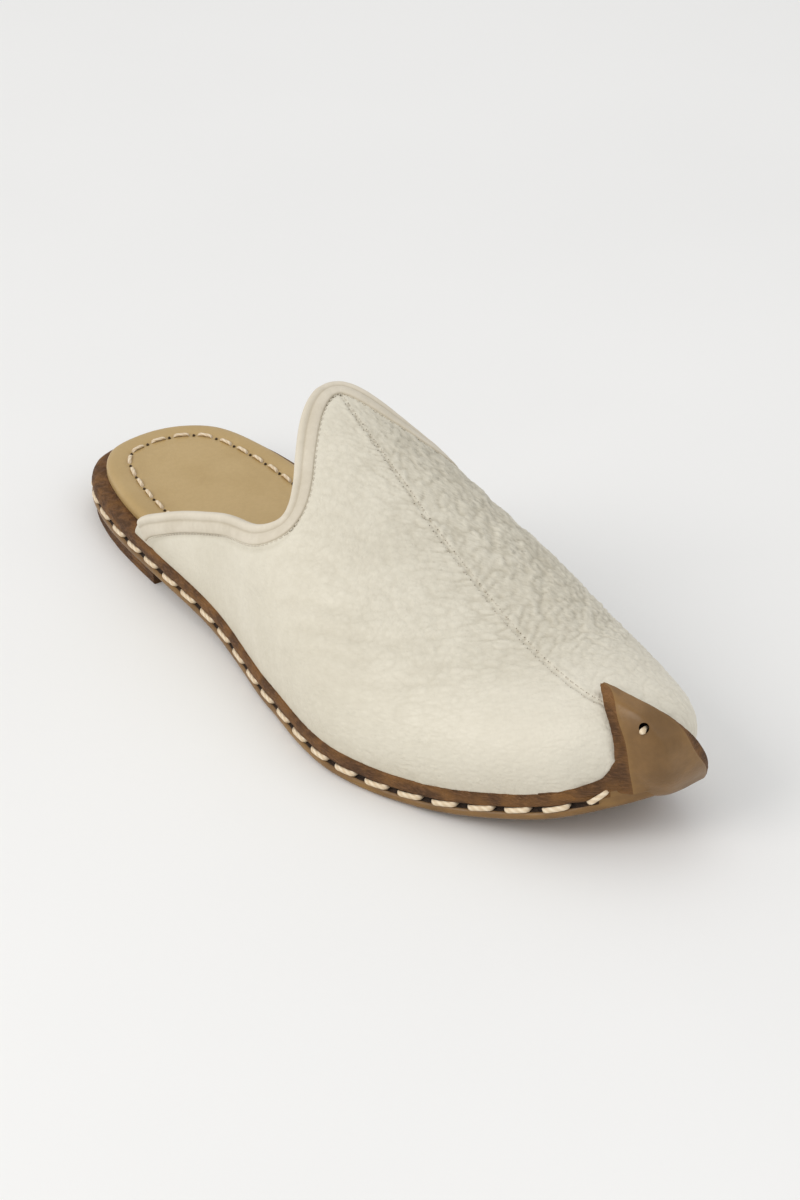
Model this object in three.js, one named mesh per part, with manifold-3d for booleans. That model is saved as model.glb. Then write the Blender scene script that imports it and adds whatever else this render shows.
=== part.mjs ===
// Babouche slipper, right shoe: a hand-stitched leather mule with an open heel,
// a peaked throat and a sole whose toe is turned up and folded back as a beak.
// Millimetres, +Z up, toe towards -Y, inner side of the foot towards +X.
import * as THREE from 'three';
import { mergeVertices } from 'three/addons/utils/BufferGeometryUtils.js';
import Module from 'manifold-3d';

const wasm = await Module();
wasm.setup();

// Driving dimensions
const SOLE_LENGTH = 276;
const BALL_WIDTH = 86;
const INSTEP_HEIGHT = 64;
const HEEL_LIFT_HEIGHT = 4;
const HEEL_LIFT_LENGTH = 67;
const OUTSOLE_THICKNESS = 8.6;
const TOE_SPRING = 16;
const INSOLE_THICKNESS = 4;
const INSOLE_EDGE_ROUND = 1.6;
const UPPER_WALL = 2.2;
const FEATHER_INSET = 1.3;
const BINDING_WIDTH = 4.4;
const BINDING_THICKNESS = 0.9;
const BINDING_END = 0.012;
const BINDING_CLEARANCE = 0.5;
const BINDING_TAPER = 0.3;
const BEAK_THICKNESS = 10;
const BEAK_HEIGHT = 46.5;
const BEAK_HOLE_DIAMETER = 3;
const LIP_HEIGHT = 3;
const GROOVE_HEIGHT = 1.6;
const GROOVE_DEPTH = 1.3;
const LIFT_INSET = 1.2;
const CLEARANCE = 0.3;

const TOE_ROOM_START = 0.6;
const TOE_ROOM_SINK = 1;

// How finely the forms are faceted
const SOLE_STEPS = 46;
const UPPER_STEPS_AROUND = 48;
const UPPER_STEPS_ALONG = 30;
const BEAK_STEPS_ALONG = 18;
const BEAK_STEPS_ACROSS = 12;

// Plan outline of the sole: along is a share of the sole's length from the heel,
// inner and outer are shares of the ball width, measured from the foot's axis.
const OUTLINE = [
  { along: 0.000, inner: 0.033, outer: -0.033 },
  { along: 0.012, inner: 0.200, outer: 0.155 },
  { along: 0.037, inner: 0.305, outer: 0.243 },
  { along: 0.127, inner: 0.402, outer: 0.343 },
  { along: 0.254, inner: 0.415, outer: 0.380 },
  { along: 0.400, inner: 0.345, outer: 0.396 },
  { along: 0.545, inner: 0.405, outer: 0.474 },
  { along: 0.690, inner: 0.473, outer: 0.518 },
  { along: 0.800, inner: 0.446, outer: 0.412 },
  { along: 0.888, inner: 0.398, outer: 0.272 },
  { along: 0.950, inner: 0.362, outer: 0.145 },
  { along: 0.985, inner: 0.315, outer: -0.025 },
  { along: 1.000, inner: 0.205, outer: -0.205 },
];

// Upper over the last: rise is the ridge's height above the feather line as a share of
// the instep height, tuck is how far below its widest point the wall starts, in degrees,
// and lean moves the ridge sideways as a share of the half width.
const LAST = [
  { along: 0.00, rise: 0.840, tuck: 12, lean: 0.00, fill: 0.72 },
  { along: 0.30, rise: 0.860, tuck: 14, lean: 0.25, fill: 0.72 },
  { along: 0.36, rise: 0.980, tuck: 15, lean: 0.30, fill: 0.72 },
  { along: 0.41, rise: 1.050, tuck: 15, lean: 0.31, fill: 0.72 },
  { along: 0.48, rise: 0.985, tuck: 17, lean: 0.28, fill: 0.72 },
  { along: 0.55, rise: 0.900, tuck: 19, lean: 0.24, fill: 0.73 },
  { along: 0.64, rise: 0.755, tuck: 20, lean: 0.20, fill: 0.73 },
  { along: 0.72, rise: 0.635, tuck: 22, lean: 0.18, fill: 0.73 },
  { along: 0.80, rise: 0.550, tuck: 26, lean: 0.16, fill: 0.73 },
  { along: 0.88, rise: 0.480, tuck: 29, lean: 0.11, fill: 0.73 },
  { along: 0.94, rise: 0.385, tuck: 30, lean: 0.04, fill: 0.74 },
  { along: 0.98, rise: 0.265, tuck: 28, lean: 0.01, fill: 0.76 },
  { along: 1.00, rise: 0.000, tuck: 26, lean: 0.00, fill: 0.76 },
];

// Collar line: around runs from the outer feather (0) over the ridge (0.5) to the inner
// feather (1), along is the share of the sole's length where the upper begins there.
const COLLAR = [
  { around: 0.000, along: 0.200 },
  { around: 0.030, along: 0.228 },
  { around: 0.058, along: 0.266 },
  { around: 0.089, along: 0.314 },
  { around: 0.114, along: 0.366 },
  { around: 0.135, along: 0.408 },
  { around: 0.160, along: 0.444 },
  { around: 0.192, along: 0.477 },
  { around: 0.225, along: 0.499 },
  { around: 0.255, along: 0.510 },
  { around: 0.282, along: 0.508 },
  { around: 0.312, along: 0.493 },
  { around: 0.345, along: 0.468 },
  { around: 0.385, along: 0.442 },
  { around: 0.440, along: 0.419 },
  { around: 0.500, along: 0.410 },
  { around: 0.545, along: 0.416 },
  { around: 0.588, along: 0.436 },
  { around: 0.625, along: 0.458 },
  { around: 0.660, along: 0.481 },
  { around: 0.690, along: 0.500 },
  { around: 0.720, along: 0.510 },
  { around: 0.750, along: 0.507 },
  { around: 0.785, along: 0.492 },
  { around: 0.822, along: 0.470 },
  { around: 0.857, along: 0.442 },
  { around: 0.890, along: 0.405 },
  { around: 0.925, along: 0.355 },
  { around: 0.961, along: 0.303 },
  { around: 1.000, along: 0.258 },
];

// Folds of the beak from under the sole to its tip: the crown's place along the sole as a
// share of its length, its height as a share of the beak's height, the place across of its
// outer and inner edges as shares of the ball width, and how far each edge falls back from
// the crown as a share of the sole's length.
const BEAK = [
  { along: 0.940, height: 0.240, outer: 0.110, inner: 0.310, backOuter: 0.020, backInner: 0.000 },
  { along: 0.993, height: 0.318, outer: 0.050, inner: 0.322, backOuter: 0.040, backInner: 0.004 },
  { along: 1.012, height: 0.440, outer: 0.022, inner: 0.312, backOuter: 0.048, backInner: 0.004 },
  { along: 1.021, height: 0.600, outer: 0.000, inner: 0.285, backOuter: 0.050, backInner: 0.002 },
  { along: 1.020, height: 0.774, outer: 0.000, inner: 0.235, backOuter: 0.052, backInner: 0.002 },
  { along: 1.008, height: 0.892, outer: 0.010, inner: 0.180, backOuter: 0.053, backInner: 0.004 },
  { along: 0.985, height: 0.968, outer: 0.032, inner: 0.125, backOuter: 0.042, backInner: 0.004 },
  { along: 0.930, height: 1.000, outer: 0.062, inner: 0.074, backOuter: 0.002, backInner: 0.000 },
];
const BEAK_HOLE_FOLD = 0.714;
const BEAK_HOLE_ACROSS = -0.35;

// Side of the sole from its underside up: inset from the outline and height above the underside
const BAND_BOTTOM = LIP_HEIGHT + GROOVE_HEIGHT;
const SIDE_PROFILE = [
  { inset: 1.7, height: 0 },
  { inset: 0.35, height: 0.7 },
  { inset: 0, height: LIP_HEIGHT * 0.6 },
  { inset: 0.25, height: LIP_HEIGHT },
  { inset: GROOVE_DEPTH, height: LIP_HEIGHT + GROOVE_HEIGHT * 0.3 },
  { inset: GROOVE_DEPTH, height: LIP_HEIGHT + GROOVE_HEIGHT * 0.7 },
  { inset: 0.35, height: BAND_BOTTOM },
  { inset: 0.45, height: OUTSOLE_THICKNESS - 0.9 },
  { inset: 1.2, height: OUTSOLE_THICKNESS },
];

const HEEL_BOTTOM = HEEL_LIFT_HEIGHT + CLEARANCE;
const INSOLE_INSET = FEATHER_INSET + UPPER_WALL + BINDING_CLEARANCE + BINDING_THICKNESS + CLEARANCE;
const WAIST_START = HEEL_LIFT_LENGTH + 2;
const TREAD_START = SOLE_LENGTH * 0.55;
const TREAD_END = SOLE_LENGTH * 0.75;

// Smooth curve through a table's rows, with slopes taken from the neighbouring rows
function curve(xs, ys) {
  const last = xs.length - 1;
  const chord = (i) => (ys[i + 1] - ys[i]) / (xs[i + 1] - xs[i]);
  const slope = (i) => {
    if (i === 0) return chord(0);
    if (i === last) return chord(last - 1);
    const before = xs[i] - xs[i - 1];
    const after = xs[i + 1] - xs[i];
    return (chord(i - 1) * after + chord(i) * before) / (before + after);
  };
  const slopes = xs.map((_, i) => slope(i));
  return (x) => {
    let i = 0;
    while (i < last - 1 && x > xs[i + 1]) i += 1;
    const width = xs[i + 1] - xs[i];
    const f = Math.min(Math.max((x - xs[i]) / width, 0), 1);
    const h00 = 2 * f ** 3 - 3 * f ** 2 + 1;
    const h10 = f ** 3 - 2 * f ** 2 + f;
    const h01 = -2 * f ** 3 + 3 * f ** 2;
    const h11 = f ** 3 - f ** 2;
    return h00 * ys[i] + h10 * width * slopes[i] + h01 * ys[i + 1] + h11 * width * slopes[i + 1];
  };
}

// Stations run from 0 at the heel to 1 at the toe, closer together at both ends
const alongAt = (station) => (1 - Math.cos(Math.PI * station)) / 2;
const stationAt = (along) => Math.acos(1 - 2 * Math.min(Math.max(along, 0), 1)) / Math.PI;

function tableCurve(table, key, scale = 1) {
  return curve(table.map((row) => stationAt(row.along)), table.map((row) => row[key] * scale));
}

const innerEdge = tableCurve(OUTLINE, 'inner', BALL_WIDTH);
const outerEdge = tableCurve(OUTLINE, 'outer', -BALL_WIDTH);
const ridgeRise = tableCurve(LAST, 'rise', INSTEP_HEIGHT);
const wallTuck = tableCurve(LAST, 'tuck', Math.PI / 180);
const ridgeLean = tableCurve(LAST, 'lean');
const sectionFill = tableCurve(LAST, 'fill');
const collarAlong = curve(COLLAR.map((row) => row.around), COLLAR.map((row) => row.along));

function ease(from, to, x) {
  const f = Math.min(Math.max((x - from) / (to - from), 0), 1);
  return f * f * (3 - 2 * f);
}

// Height of the outsole's underside: level over the heel lift, level under the ball
function underside(s) {
  const heel = HEEL_BOTTOM * (1 - ease(WAIST_START, TREAD_START, s));
  const toe = s > TREAD_END ? TOE_SPRING * ((s - TREAD_END) / (SOLE_LENGTH - TREAD_END)) ** 2 : 0;
  return heel + toe;
}

// Shoe coordinates are s from the heel back, t towards the inner side and z up
const toPart = (s, t, z) => new THREE.Vector3(t, -s, z);

// A point of the sole's outline on one side, moved inwards by an inset
function outlinePoint(station, side, inset) {
  const edge = side > 0 ? innerEdge : outerEdge;
  const step = 0.002;
  const before = Math.max(station - step, 0);
  const after = Math.min(station + step, 1);
  const ds = SOLE_LENGTH * (alongAt(after) - alongAt(before));
  const dt = edge(after) - edge(before);
  const length = Math.hypot(ds, dt);
  let inwardS = side * dt / length;
  let inwardT = -side * ds / length;
  if (station <= 0) {
    inwardS = 1;
    inwardT = 0;
  }
  if (station >= 1) {
    inwardS = -1;
    inwardT = 0;
  }
  return {
    s: SOLE_LENGTH * alongAt(station) + inwardS * inset,
    t: edge(station) + inwardT * inset,
  };
}

// A closed ring of the outline at an inset and a height above the underside
function soleRing(inset, height, from = 0, to = 1) {
  const ring = [];
  const place = (station, side) => {
    const p = outlinePoint(station, side, inset);
    ring.push(toPart(p.s, p.t, underside(p.s) + height));
  };
  for (let i = 0; i <= SOLE_STEPS; i += 1) place(from + (to - from) * i / SOLE_STEPS, -1);
  for (let i = SOLE_STEPS - 1; i > 0; i -= 1) place(from + (to - from) * i / SOLE_STEPS, 1);
  return ring;
}

// Collects triangles of a closed body
class Shell {
  constructor() {
    this.positions = [];
  }

  triangle(a, b, c) {
    this.positions.push(...a.toArray(), ...b.toArray(), ...c.toArray());
  }

  quad(a, b, c, d) {
    if (a.distanceToSquared(c) <= b.distanceToSquared(d)) {
      this.triangle(a, b, c);
      this.triangle(a, c, d);
    } else {
      this.triangle(a, b, d);
      this.triangle(b, c, d);
    }
  }

  // Walls between two rings of equal length
  band(lower, upper) {
    lower.forEach((point, i) => {
      const next = (i + 1) % lower.length;
      this.quad(point, lower[next], upper[next], upper[i]);
    });
  }

  // Strips across a ring whose first half runs up one side and second half down the other
  lid(ring, up) {
    const count = ring.length;
    const half = count / 2;
    const left = (i) => ring[i];
    const right = (i) => ring[(count - i) % count];
    for (let i = 0; i < half; i += 1) {
      const corners = [left(i), left(i + 1), right(i + 1), right(i)];
      if (!up) corners.reverse();
      if (i === 0) this.triangle(corners[0], corners[1], corners[2]);
      else if (i === half - 1) {
        const [a, b, c] = up ? [left(i), left(i + 1), right(i)] : [right(i), left(i + 1), left(i)];
        this.triangle(a, b, c);
      } else this.quad(...corners);
    }
  }

  solid() {
    const geometry = new THREE.BufferGeometry();
    geometry.setAttribute('position', new THREE.Float32BufferAttribute(this.positions, 3));
    return toSolid(geometry);
  }
}

function toSolid(geometry) {
  const plain = geometry.clone();
  plain.deleteAttribute('normal');
  plain.deleteAttribute('uv');
  const merged = mergeVertices(plain, 1e-4);
  const index = [];
  const source = merged.index.array;
  for (let i = 0; i < source.length; i += 3) {
    const [a, b, c] = [source[i], source[i + 1], source[i + 2]];
    if (a !== b && b !== c && c !== a) index.push(a, b, c);
  }
  const mesh = new wasm.Mesh({
    numProp: 3,
    vertProperties: new Float32Array(merged.attributes.position.array),
    triVerts: new Uint32Array(index),
  });
  return new wasm.Manifold(mesh);
}

function toGeometry(solid) {
  const mesh = solid.getMesh();
  const geometry = new THREE.BufferGeometry();
  geometry.setAttribute('position', new THREE.Float32BufferAttribute(mesh.vertProperties, 3));
  geometry.setIndex(new THREE.BufferAttribute(new Uint32Array(mesh.triVerts), 1));
  geometry.computeVertexNormals();
  return geometry;
}

// A slab between rings, closed by strips below and above
function slab(rings) {
  const shell = new Shell();
  for (let i = 0; i + 1 < rings.length; i += 1) shell.band(rings[i], rings[i + 1]);
  shell.lid(rings[0], false);
  shell.lid(rings[rings.length - 1], true);
  return shell.solid();
}

// Outer face of the upper: station along the shoe and around from outer to inner feather
function upperPoint(station, around) {
  const outer = outlinePoint(station, -1, FEATHER_INSET);
  const inner = outlinePoint(station, 1, FEATHER_INSET);
  const tuck = wallTuck(station);
  const angle = -tuck + (Math.PI + 2 * tuck) * around;
  const middleS = (outer.s + inner.s) / 2;
  const middleT = (outer.t + inner.t) / 2;
  const reach = -Math.cos(angle) / Math.cos(tuck);
  const raised = Math.max((Math.sin(angle) + Math.sin(tuck)) / (1 + Math.sin(tuck)), 0);
  const lift = raised ** sectionFill(station);
  const shift = ridgeLean(station) * lift ** 2;
  const s = middleS + (inner.s - outer.s) / 2 * reach;
  const t = middleT + (inner.t - outer.t) / 2 * (reach + shift);
  const feather = underside(middleS) + OUTSOLE_THICKNESS + CLEARANCE;
  return toPart(s, t, feather + ridgeRise(station) * lift);
}

function upperNormal(station, around) {
  const step = 0.004;
  const alongStep = new THREE.Vector3().subVectors(
    upperPoint(Math.min(station + step, 0.999), around),
    upperPoint(Math.min(station, 0.995) - step, around),
  );
  const aroundStep = new THREE.Vector3().subVectors(
    upperPoint(station, around + step),
    upperPoint(station, around - step),
  );
  return alongStep.cross(aroundStep).normalize();
}

const collarStation = (around) => stationAt(collarAlong(around));

// Grid of one face of the upper, moved along its normal, from the collar to the toe
function upperGrid(offset, startStation) {
  const grid = [];
  const lastStation = 0.992;
  for (let j = 0; j <= UPPER_STEPS_AROUND; j += 1) {
    const around = j / UPPER_STEPS_AROUND;
    const start = startStation(around);
    const row = [];
    for (let i = 0; i <= UPPER_STEPS_ALONG; i += 1) {
      const station = start + (lastStation - start) * i / UPPER_STEPS_ALONG;
      row.push(upperPoint(station, around).addScaledVector(upperNormal(station, around), offset));
    }
    grid.push(row);
  }
  return grid;
}

function toeTip(offset) {
  const tip = outlinePoint(1, 1, FEATHER_INSET - offset);
  const height = underside(tip.s) + OUTSOLE_THICKNESS + CLEARANCE;
  return toPart(tip.s, tip.t, height + UPPER_WALL);
}

// Faces of one grid, closed to a point at the toe
function coverGrid(shell, grid, tip, outward) {
  for (let j = 0; j < UPPER_STEPS_AROUND; j += 1) {
    for (let i = 0; i < UPPER_STEPS_ALONG; i += 1) {
      const corners = [grid[j][i], grid[j][i + 1], grid[j + 1][i + 1], grid[j + 1][i]];
      if (!outward) corners.reverse();
      shell.quad(...corners);
    }
    const a = grid[j][UPPER_STEPS_ALONG];
    const b = grid[j + 1][UPPER_STEPS_ALONG];
    if (outward) shell.triangle(a, tip, b);
    else shell.triangle(b, tip, a);
  }
}

// Upper: one hollow wall, open along the collar and underneath
function makeUpper() {
  const shell = new Shell();
  const outer = upperGrid(0, collarStation);
  const inner = upperGrid(-UPPER_WALL, collarStation);
  const outerTip = toeTip(0);
  const innerTip = toeTip(-UPPER_WALL);
  coverGrid(shell, outer, outerTip, true);
  coverGrid(shell, inner, innerTip, false);
  for (let j = 0; j < UPPER_STEPS_AROUND; j += 1) {
    shell.quad(outer[j][0], outer[j + 1][0], inner[j + 1][0], inner[j][0]);
  }
  const hem = (j, flip) => {
    const rimOut = [...outer[j], outerTip];
    const rimIn = [...inner[j], innerTip];
    for (let i = 0; i + 1 < rimOut.length; i += 1) {
      const corners = [rimOut[i], rimIn[i], rimIn[i + 1], rimOut[i + 1]];
      if (flip) corners.reverse();
      shell.quad(...corners);
    }
  };
  hem(0, false);
  hem(UPPER_STEPS_AROUND, true);
  return shell.solid();
}

// The room the upper needs at the toe: its outer face grown by a clearance, closed below
// by a floor that reaches a little way into the sole
function toeRoom() {
  const shell = new Shell();
  const grid = upperGrid(CLEARANCE, () => TOE_ROOM_START);
  const tip = toeTip(CLEARANCE);
  coverGrid(shell, grid, tip, true);
  const sink = (point) => new THREE.Vector3(point.x, point.y, point.z - TOE_ROOM_SINK);
  const left = [...grid[0], tip];
  const right = [...grid[UPPER_STEPS_AROUND], tip];
  const lowLeft = left.map(sink);
  const lowRight = right.map(sink);
  const back = grid.map((row) => row[0]);
  for (let j = 1; j + 1 < back.length; j += 1) shell.triangle(back[0], back[j], back[j + 1]);
  shell.quad(lowLeft[0], left[0], right[0], lowRight[0]);
  for (let i = 0; i + 1 < left.length; i += 1) {
    shell.quad(lowLeft[i], lowRight[i], lowRight[i + 1], lowLeft[i + 1]);
    shell.quad(left[i], lowLeft[i], lowLeft[i + 1], left[i + 1]);
    shell.quad(right[i + 1], lowRight[i + 1], lowRight[i], right[i]);
  }
  return shell.solid();
}

// Binding folded over the collar's edge, on both faces of the wall
function makeBinding() {
  const away = BINDING_CLEARANCE;
  const skin = BINDING_CLEARANCE + BINDING_THICKNESS;
  const under = -UPPER_WALL;
  const section = [
    { into: BINDING_WIDTH, off: away },
    { into: BINDING_WIDTH, off: skin - BINDING_TAPER },
    { into: 0.4, off: skin },
    { into: -skin * 0.7, off: skin * 0.6 },
    { into: -skin, off: under / 2 },
    { into: -skin * 0.7, off: under - skin * 0.6 },
    { into: 0.4, off: under - skin },
    { into: BINDING_WIDTH, off: under - skin + BINDING_TAPER },
    { into: BINDING_WIDTH, off: under - away },
    { into: -away, off: under - away },
    { into: -away, off: away },
  ];
  const rings = [];
  for (let i = 0; i <= UPPER_STEPS_AROUND; i += 1) {
    const around = Math.min(Math.max(i / UPPER_STEPS_AROUND, BINDING_END), 1 - BINDING_END);
    const station = collarStation(around);
    const here = upperPoint(station, around);
    const step = 0.003;
    const ahead = upperPoint(collarStation(around + step), around + step);
    const behind = upperPoint(collarStation(around - step), around - step);
    const run = ahead.sub(behind).normalize();
    const normal = upperNormal(station, around);
    const into = new THREE.Vector3().crossVectors(run, normal).normalize();
    const alongStep = upperPoint(station + step, around).sub(here);
    const aroundStep = upperPoint(station, around + step).sub(here);
    rings.push(section.map((p) => onUpper(station, around, into, alongStep, aroundStep, step, p)));
  }
  const shell = new Shell();
  for (let i = 0; i < UPPER_STEPS_AROUND; i += 1) shell.band(rings[i + 1], rings[i]);
  closeBindingEnd(shell, rings[0], false);
  closeBindingEnd(shell, rings[UPPER_STEPS_AROUND], true);
  return shell.solid();
}

// A point a short way into the upper from its collar, following the curved face
function onUpper(station, around, into, alongStep, aroundStep, step, point) {
  const aa = alongStep.dot(alongStep);
  const bb = aroundStep.dot(aroundStep);
  const ab = alongStep.dot(aroundStep);
  const target = into.clone().multiplyScalar(point.into);
  const ta = target.dot(alongStep);
  const tb = target.dot(aroundStep);
  const det = aa * bb - ab * ab;
  const newStation = station + step * (ta * bb - tb * ab) / det;
  const newAround = around + step * (tb * aa - ta * ab) / det;
  const place = upperPoint(newStation, newAround);
  return place.addScaledVector(upperNormal(newStation, newAround), point.off);
}

// Each end of the binding is closed by fans over its folded section
function closeBindingEnd(shell, ring, forward) {
  const fans = [[0, 1, 2], [0, 2, 10], [10, 2, 3], [10, 3, 4], [10, 4, 5], [10, 5, 9]];
  fans.push([9, 5, 6], [9, 6, 7], [9, 7, 8]);
  for (const [a, b, c] of fans) {
    if (forward) shell.triangle(ring[c], ring[b], ring[a]);
    else shell.triangle(ring[a], ring[b], ring[c]);
  }
}

// Beak: the sole's own toe, folded up round the front and back over the vamp
const beakRows = BEAK.map((_, i) => i / (BEAK.length - 1));
const beakColumn = (key, scale) => curve(beakRows, BEAK.map((row) => row[key] * scale));
const beak = {
  along: beakColumn('along', SOLE_LENGTH),
  height: beakColumn('height', BEAK_HEIGHT),
  outer: beakColumn('outer', BALL_WIDTH),
  inner: beakColumn('inner', BALL_WIDTH),
  backOuter: beakColumn('backOuter', SOLE_LENGTH),
  backInner: beakColumn('backInner', SOLE_LENGTH),
};

// across runs from -1 at the beak's outer edge to 1 at its inner edge
function beakPoint(fold, across) {
  const middle = (beak.outer(fold) + beak.inner(fold)) / 2;
  const half = (beak.inner(fold) - beak.outer(fold)) / 2;
  const back = across < 0 ? beak.backOuter(fold) : beak.backInner(fold);
  return toPart(beak.along(fold) - back * across ** 2, middle + half * across, beak.height(fold));
}

function beakNormal(fold, across) {
  const step = 0.01;
  const up = beakPoint(Math.min(fold + step, 1), across).sub(beakPoint(Math.max(fold - step, 0), across));
  const side = beakPoint(fold, across + step).sub(beakPoint(fold, across - step));
  return side.cross(up).normalize();
}

function makeBeak() {
  const shell = new Shell();
  const face = (depth) => {
    const rows = [];
    for (let i = 0; i <= BEAK_STEPS_ALONG; i += 1) {
      const fold = i / BEAK_STEPS_ALONG;
      const row = [];
      for (let j = 0; j <= BEAK_STEPS_ACROSS; j += 1) {
        const across = -1 + 2 * j / BEAK_STEPS_ACROSS;
        row.push(beakPoint(fold, across).addScaledVector(beakNormal(fold, across), depth));
      }
      rows.push(row);
    }
    return rows;
  };
  const outside = face(0);
  const inside = face(-BEAK_THICKNESS);
  const right = BEAK_STEPS_ACROSS;
  for (let i = 0; i < BEAK_STEPS_ALONG; i += 1) {
    for (let j = 0; j < right; j += 1) {
      shell.quad(outside[i][j], outside[i][j + 1], outside[i + 1][j + 1], outside[i + 1][j]);
      shell.quad(inside[i + 1][j], inside[i + 1][j + 1], inside[i][j + 1], inside[i][j]);
    }
    shell.quad(outside[i + 1][0], inside[i + 1][0], inside[i][0], outside[i][0]);
    shell.quad(outside[i][right], inside[i][right], inside[i + 1][right], outside[i + 1][right]);
  }
  for (let j = 0; j < right; j += 1) {
    const top = BEAK_STEPS_ALONG;
    shell.quad(outside[0][j + 1], outside[0][j], inside[0][j], inside[0][j + 1]);
    shell.quad(outside[top][j], outside[top][j + 1], inside[top][j + 1], inside[top][j]);
  }
  return shell.solid();
}

// Round hole through the beak, square to its outer face
function beakHole() {
  const depth = BEAK_THICKNESS * 2;
  const drill = new THREE.CylinderGeometry(BEAK_HOLE_DIAMETER / 2, BEAK_HOLE_DIAMETER / 2, depth, 12);
  const normal = beakNormal(BEAK_HOLE_FOLD, BEAK_HOLE_ACROSS);
  const turn = new THREE.Quaternion().setFromUnitVectors(new THREE.Vector3(0, 1, 0), normal);
  const place = beakPoint(BEAK_HOLE_FOLD, BEAK_HOLE_ACROSS);
  drill.applyQuaternion(turn).translate(place.x, place.y, place.z);
  return toSolid(drill);
}

function makeOutsole() {
  const base = slab(SIDE_PROFILE.map((row) => soleRing(row.inset, row.height)));
  const folded = makeBeak().subtract(toeRoom()).subtract(beakHole());
  return mainBody(base.add(folded));
}

// The largest body of a cut solid, without the crumbs that a glancing cut can leave
function mainBody(solid) {
  return solid.decompose().reduce((best, body) => (body.volume() > best.volume() ? body : best));
}

function makeInsole() {
  const bottom = OUTSOLE_THICKNESS + CLEARANCE;
  const top = bottom + INSOLE_THICKNESS;
  return slab([
    soleRing(INSOLE_INSET, bottom),
    soleRing(INSOLE_INSET, top - INSOLE_EDGE_ROUND),
    soleRing(INSOLE_INSET + INSOLE_EDGE_ROUND * 0.35, top - INSOLE_EDGE_ROUND * 0.35),
    soleRing(INSOLE_INSET + INSOLE_EDGE_ROUND, top),
  ]);
}

function makeHeelLift() {
  const breast = stationAt(HEEL_LIFT_LENGTH / SOLE_LENGTH);
  const ring = (inset, height) => soleRing(inset, height, 0, breast);
  const level = (points, z) => points.map((p) => new THREE.Vector3(p.x, p.y, z));
  return slab([
    level(ring(LIFT_INSET + 0.5, 0), 0),
    level(ring(LIFT_INSET, 0), 0.6),
    level(ring(LIFT_INSET, 0), HEEL_LIFT_HEIGHT),
  ]);
}

const CREAM_LEATHER = new THREE.MeshStandardMaterial({ color: 0xddd7c6, roughness: 0.6, metalness: 0 });
const CREAM_BINDING = new THREE.MeshStandardMaterial({ color: 0xd8cfbb, roughness: 0.55, metalness: 0 });
const SOLE_LEATHER = new THREE.MeshStandardMaterial({ color: 0x6f5436, roughness: 0.5, metalness: 0 });
const INSOLE_LEATHER = new THREE.MeshStandardMaterial({ color: 0xbba374, roughness: 0.5, metalness: 0 });

const pieces = [
  { name: 'outsole', solid: makeOutsole(), material: SOLE_LEATHER },
  { name: 'insole', solid: makeInsole(), material: INSOLE_LEATHER },
  { name: 'heel_lift', solid: makeHeelLift(), material: SOLE_LEATHER },
  { name: 'upper', solid: makeUpper(), material: CREAM_LEATHER },
  { name: 'collar_binding', solid: makeBinding(), material: CREAM_BINDING },
];

const slipper = new THREE.Group();
for (const piece of pieces) {
  const mesh = new THREE.Mesh(toGeometry(piece.solid), piece.material);
  mesh.name = piece.name;
  slipper.add(mesh);
}

// The origin is on the floor, under the middle of the shoe's box
const box = new THREE.Box3().setFromObject(slipper);
slipper.position.set(-(box.min.x + box.max.x) / 2, -(box.min.y + box.max.y) / 2, 0);
const frame = new THREE.Group();
frame.add(slipper);

export default frame;
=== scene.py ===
import logging
import math
from dataclasses import dataclass, field
from enum import Enum

import bmesh
import bpy
import numpy as np
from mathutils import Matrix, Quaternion, Vector, noise
from mathutils.bvhtree import BVHTree


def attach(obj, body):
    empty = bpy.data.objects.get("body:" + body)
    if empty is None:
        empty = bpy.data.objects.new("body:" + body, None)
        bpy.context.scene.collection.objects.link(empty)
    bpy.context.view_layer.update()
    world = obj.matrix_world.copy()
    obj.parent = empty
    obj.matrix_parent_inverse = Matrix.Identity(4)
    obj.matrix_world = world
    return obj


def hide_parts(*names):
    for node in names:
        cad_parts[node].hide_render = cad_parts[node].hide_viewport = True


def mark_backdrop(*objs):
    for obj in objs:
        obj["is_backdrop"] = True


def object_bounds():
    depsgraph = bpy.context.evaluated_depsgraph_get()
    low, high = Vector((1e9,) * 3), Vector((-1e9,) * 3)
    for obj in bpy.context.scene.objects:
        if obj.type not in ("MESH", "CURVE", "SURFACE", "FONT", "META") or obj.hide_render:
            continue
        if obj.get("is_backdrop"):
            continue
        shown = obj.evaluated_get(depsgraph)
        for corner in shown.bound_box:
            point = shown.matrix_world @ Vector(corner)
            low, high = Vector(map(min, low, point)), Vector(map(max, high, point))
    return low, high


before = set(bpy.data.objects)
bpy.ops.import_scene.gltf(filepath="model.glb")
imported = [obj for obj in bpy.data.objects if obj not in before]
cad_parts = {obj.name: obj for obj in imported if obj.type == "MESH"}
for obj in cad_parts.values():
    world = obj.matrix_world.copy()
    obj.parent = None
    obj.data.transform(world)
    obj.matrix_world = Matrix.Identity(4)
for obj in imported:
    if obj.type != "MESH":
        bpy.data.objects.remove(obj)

log = logging.getLogger("babouche")

MM = 0.001

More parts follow.
